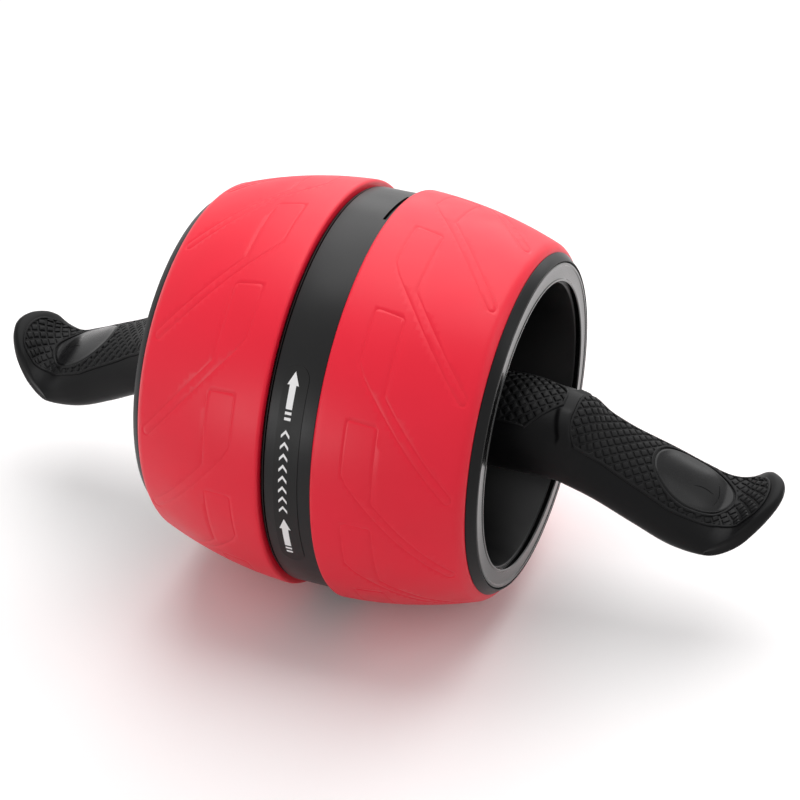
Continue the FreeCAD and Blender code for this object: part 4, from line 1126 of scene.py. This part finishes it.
def make_handles():
    """Both handles: smooth core, diamond pads on neck and grip, and the palm oval."""
    make_core()
    neck_outline = pad_outline(at_ridge=(3, 54), at_seam=(3, 41), front_power=0.9, back_power=6)
    neck = diamond_pad("neck_diamonds_right", neck_outline)
    both_sides(neck, HANDLES, grip_rubber, "grip_black", "neck_pad")
    hole_size = [half + OVAL_GAP for half in OVAL_HALF]
    grip_outline = pad_outline(at_ridge=(59, 162.3), at_seam=(66, 157), front_power=4, back_power=4)
    grip = diamond_pad("grip_diamonds_right", grip_outline, hole_size)
    both_sides(grip, HANDLES, grip_rubber, "grip_black", "grip_pad")
    make_oval()


# Spring: a flat strip wound in half circles, its inner end bent into the collar on the axle


SPRING_START = 15
SPRING_STEP = 1.6
SPRING_HALF_TURNS = 14
SPRING_WIDTH = 28
SPRING_THICKNESS = 1
SPRING_TONGUE = 5.1
SPRING_ARC_STEPS = 20
TAIL_START = 38.2
TAIL_END = 41.1


def on_handle_axis(piece):
    """Puts a piece made round the X axis on the axle, turned as the handles are."""
    piece.data.transform(Matrix.Translation((0, 0, AXLE_HEIGHT * MM)) @ Matrix.Rotation(SWING, 4, "X"))


def widen_to_strip():
    """Extrudes the active piece along the axle to the width of the spring's strip."""
    edit()
    extrude(SPRING_WIDTH, 0, 0)
    leave_edit()


def make_spring():
    """Spring in two pieces: the coil stays with the axle, and the hooked tail turns with the case."""
    half = SPRING_THICKNESS / 2
    line = [(SPRING_START - SPRING_TONGUE, -half), (SPRING_START, -half)]
    for index in range(SPRING_HALF_TURNS):
        side = index % 2
        line += arc((SPRING_STEP * side, 0), SPRING_START + index * SPRING_STEP, 180 * side,
                    180 * side + 180, SPRING_ARC_STEPS)[1:]
    line.append((line[-1][0], SPRING_THICKNESS))
    coil = drawn_line("spring_coil", [(-SPRING_WIDTH / 2, y, z) for y, z in line])
    widen_to_strip()
    strip = coil.modifiers.new("strip", "SOLIDIFY")
    strip.thickness = SPRING_THICKNESS * MM
    strip.offset = 0
    bpy.ops.object.modifier_apply(modifier=strip.name)
    tidy(coil)
    smooth(coil)
    on_handle_axis(coil)
    fit(coil, HANDLES, spring_steel, "spring_steel", "power_spring")
    corners = [(TAIL_START, 0), (TAIL_END, 0), (TAIL_END, SPRING_THICKNESS), (TAIL_START, SPRING_THICKNESS)]
    tail = drawn_face("spring_tail", [(-SPRING_WIDTH / 2, y, z) for y, z in corners])
    widen_to_strip()
    tidy(tail)
    on_handle_axis(tail)
    fit(tail, WHEEL, spring_steel, "spring_steel")


# Studio


CAMERA_PLACE = Vector((0.3504, -0.8355, 0.6978))
CAMERA_RIGHT = Vector((0.9284, 0.3716, 0.0))
CAMERA_UP = Vector((-0.2076, 0.5188, 0.8293))
CAMERA_BACK = Vector((0.3081, -0.7700, 0.5588))
LENS = 108.15
SENSOR = 36
FLOOR_WHITE = "FFFDFD"
FLOOR_BOUNCE = "C4C0C0"
FLOOR_NEAR = 0.3
FLOOR_FAR = 0.8
FLOOR_SIZE = 6
FIBRE_SIZE = 2
FIBRE_DEPTH = 0.01
SURROUND_FILL = 0.52
# Lamps: name, place, aim and size in metres, and watts.
SOFTBOXES = (
    ("overhead softbox", (-0.05, 0.5, 1.25), (0, 0.1, 0.08), (1.4, 1.5), 16.5),
    ("front softbox", (-0.7, -1.6, 0.34), (0, 0, 0.09), (1.0, 0.5), 6.5),
    ("back softbox", (0, 1.7, 0.8), (0, 0, 0.15), (1.8, 0.7), 6.0),
    ("right softbox", (1.2, 0.3, 0.8), (0.05, 0, 0.08), (0.5, 0.8), 2.0),
)


def make_camera():
    """Camera at the photograph's viewpoint."""
    data = bpy.data.cameras.new("camera")
    data.lens = LENS
    data.sensor_width = SENSOR
    data.sensor_fit = "HORIZONTAL"
    camera = bpy.data.objects.new("camera", data)
    bpy.context.collection.objects.link(camera)
    turn = Matrix((CAMERA_RIGHT, CAMERA_UP, CAMERA_BACK)).transposed().to_4x4()
    camera.matrix_world = Matrix.Translation(CAMERA_PLACE) @ turn
    bpy.context.scene.camera = camera


def softbox(name, place, target, size, watts):
    """A rectangular area lamp aimed at a point."""
    data = bpy.data.lights.new(name, "AREA")
    data.shape = "RECTANGLE"
    data.size, data.size_y = size
    data.energy = watts
    lamp = bpy.data.objects.new(name, data)
    bpy.context.collection.objects.link(lamp)
    lamp.location = place
    lamp.rotation_euler = (Vector(target) - Vector(place)).to_track_quat("-Z", "Y").to_euler()


def background_rays(tree):
    """1 for rays from the eye, off a gloss or through something clear, and 0 for others."""
    rays = add_node(tree, "LightPath")
    share = rays.outputs["Is Camera Ray"]
    for kind in ("Is Glossy Ray", "Is Transmission Ray"):
        either = add_node(tree, "Math", {"operation": "MAXIMUM"},
                          {0: share, 1: rays.outputs[kind]})
        share = either.outputs["Value"]
    return share


def make_floor():
    """Plain white paper that keeps the object's shadow."""
    start_clean()
    bpy.ops.mesh.primitive_plane_add(size=FLOOR_SIZE)
    floor = bpy.context.object
    floor.name = "floor"
    material, tree, place = new_material("white paper")
    fibre = noise(tree, place, FIBRE_SIZE, detail=2.0)
    relief = bump(tree, fibre, FIBRE_DEPTH, strength=0.2)
    seen = background_rays(tree)
    white = add_node(tree, "Mix", {"data_type": "RGBA"},
                     {0: seen, 6: linear(FLOOR_BOUNCE), 7: linear(FLOOR_WHITE)})
    paper = add_node(tree, "BsdfDiffuse", Color=white.outputs[2], Normal=relief)
    # Far from the object the paper runs out into the white surround, for the eye alone.
    away = add_node(tree, "VectorMath", {"operation": "LENGTH"}, Vector=place)
    far = add_node(tree, "MapRange", {"interpolation_type": "SMOOTHSTEP"},
                   Value=away.outputs["Value"], From_Min=FLOOR_NEAR, From_Max=FLOOR_FAR)
    share = add_node(tree, "Math", {"operation": "MULTIPLY"}, {0: far.outputs["Result"], 1: seen})
    glow = add_node(tree, "Emission", Color=linear(FLOOR_WHITE), Strength=1.0)
    run_out = add_node(tree, "MixShader", None, {
        0: share.outputs["Value"], 1: paper.outputs["BSDF"], 2: glow.outputs["Emission"]})
    add_node(tree, "OutputMaterial", Surface=run_out.outputs["Shader"])
    floor.data.materials.append(material)


def make_surround():
    """White for the eye, and a softer fill for the object's own light."""
    world = bpy.data.worlds.new("pale surround")
    bpy.context.scene.world = world
    world.use_nodes = True
    tree = world.node_tree
    tree.nodes.clear()
    level = add_node(tree, "MapRange", Value=background_rays(tree), To_Min=SURROUND_FILL,
                     To_Max=1.0)
    sky = add_node(tree, "Background", Color=(1, 1, 1, 1), Strength=level.outputs["Result"])
    add_node(tree, "OutputWorld", Surface=sky.outputs["Background"])


def make_studio():
    """Plain white floor, a pale surround and four softboxes."""
    make_floor()
    make_surround()
    for lamp in SOFTBOXES:
        softbox(*lamp)
    bpy.context.scene.view_settings.view_transform = "Standard"


make_camera()
make_tread()
make_shell()
make_band()
make_screws()
make_trim()
make_print()
make_spring()
make_handles()
make_studio()

start_clean()
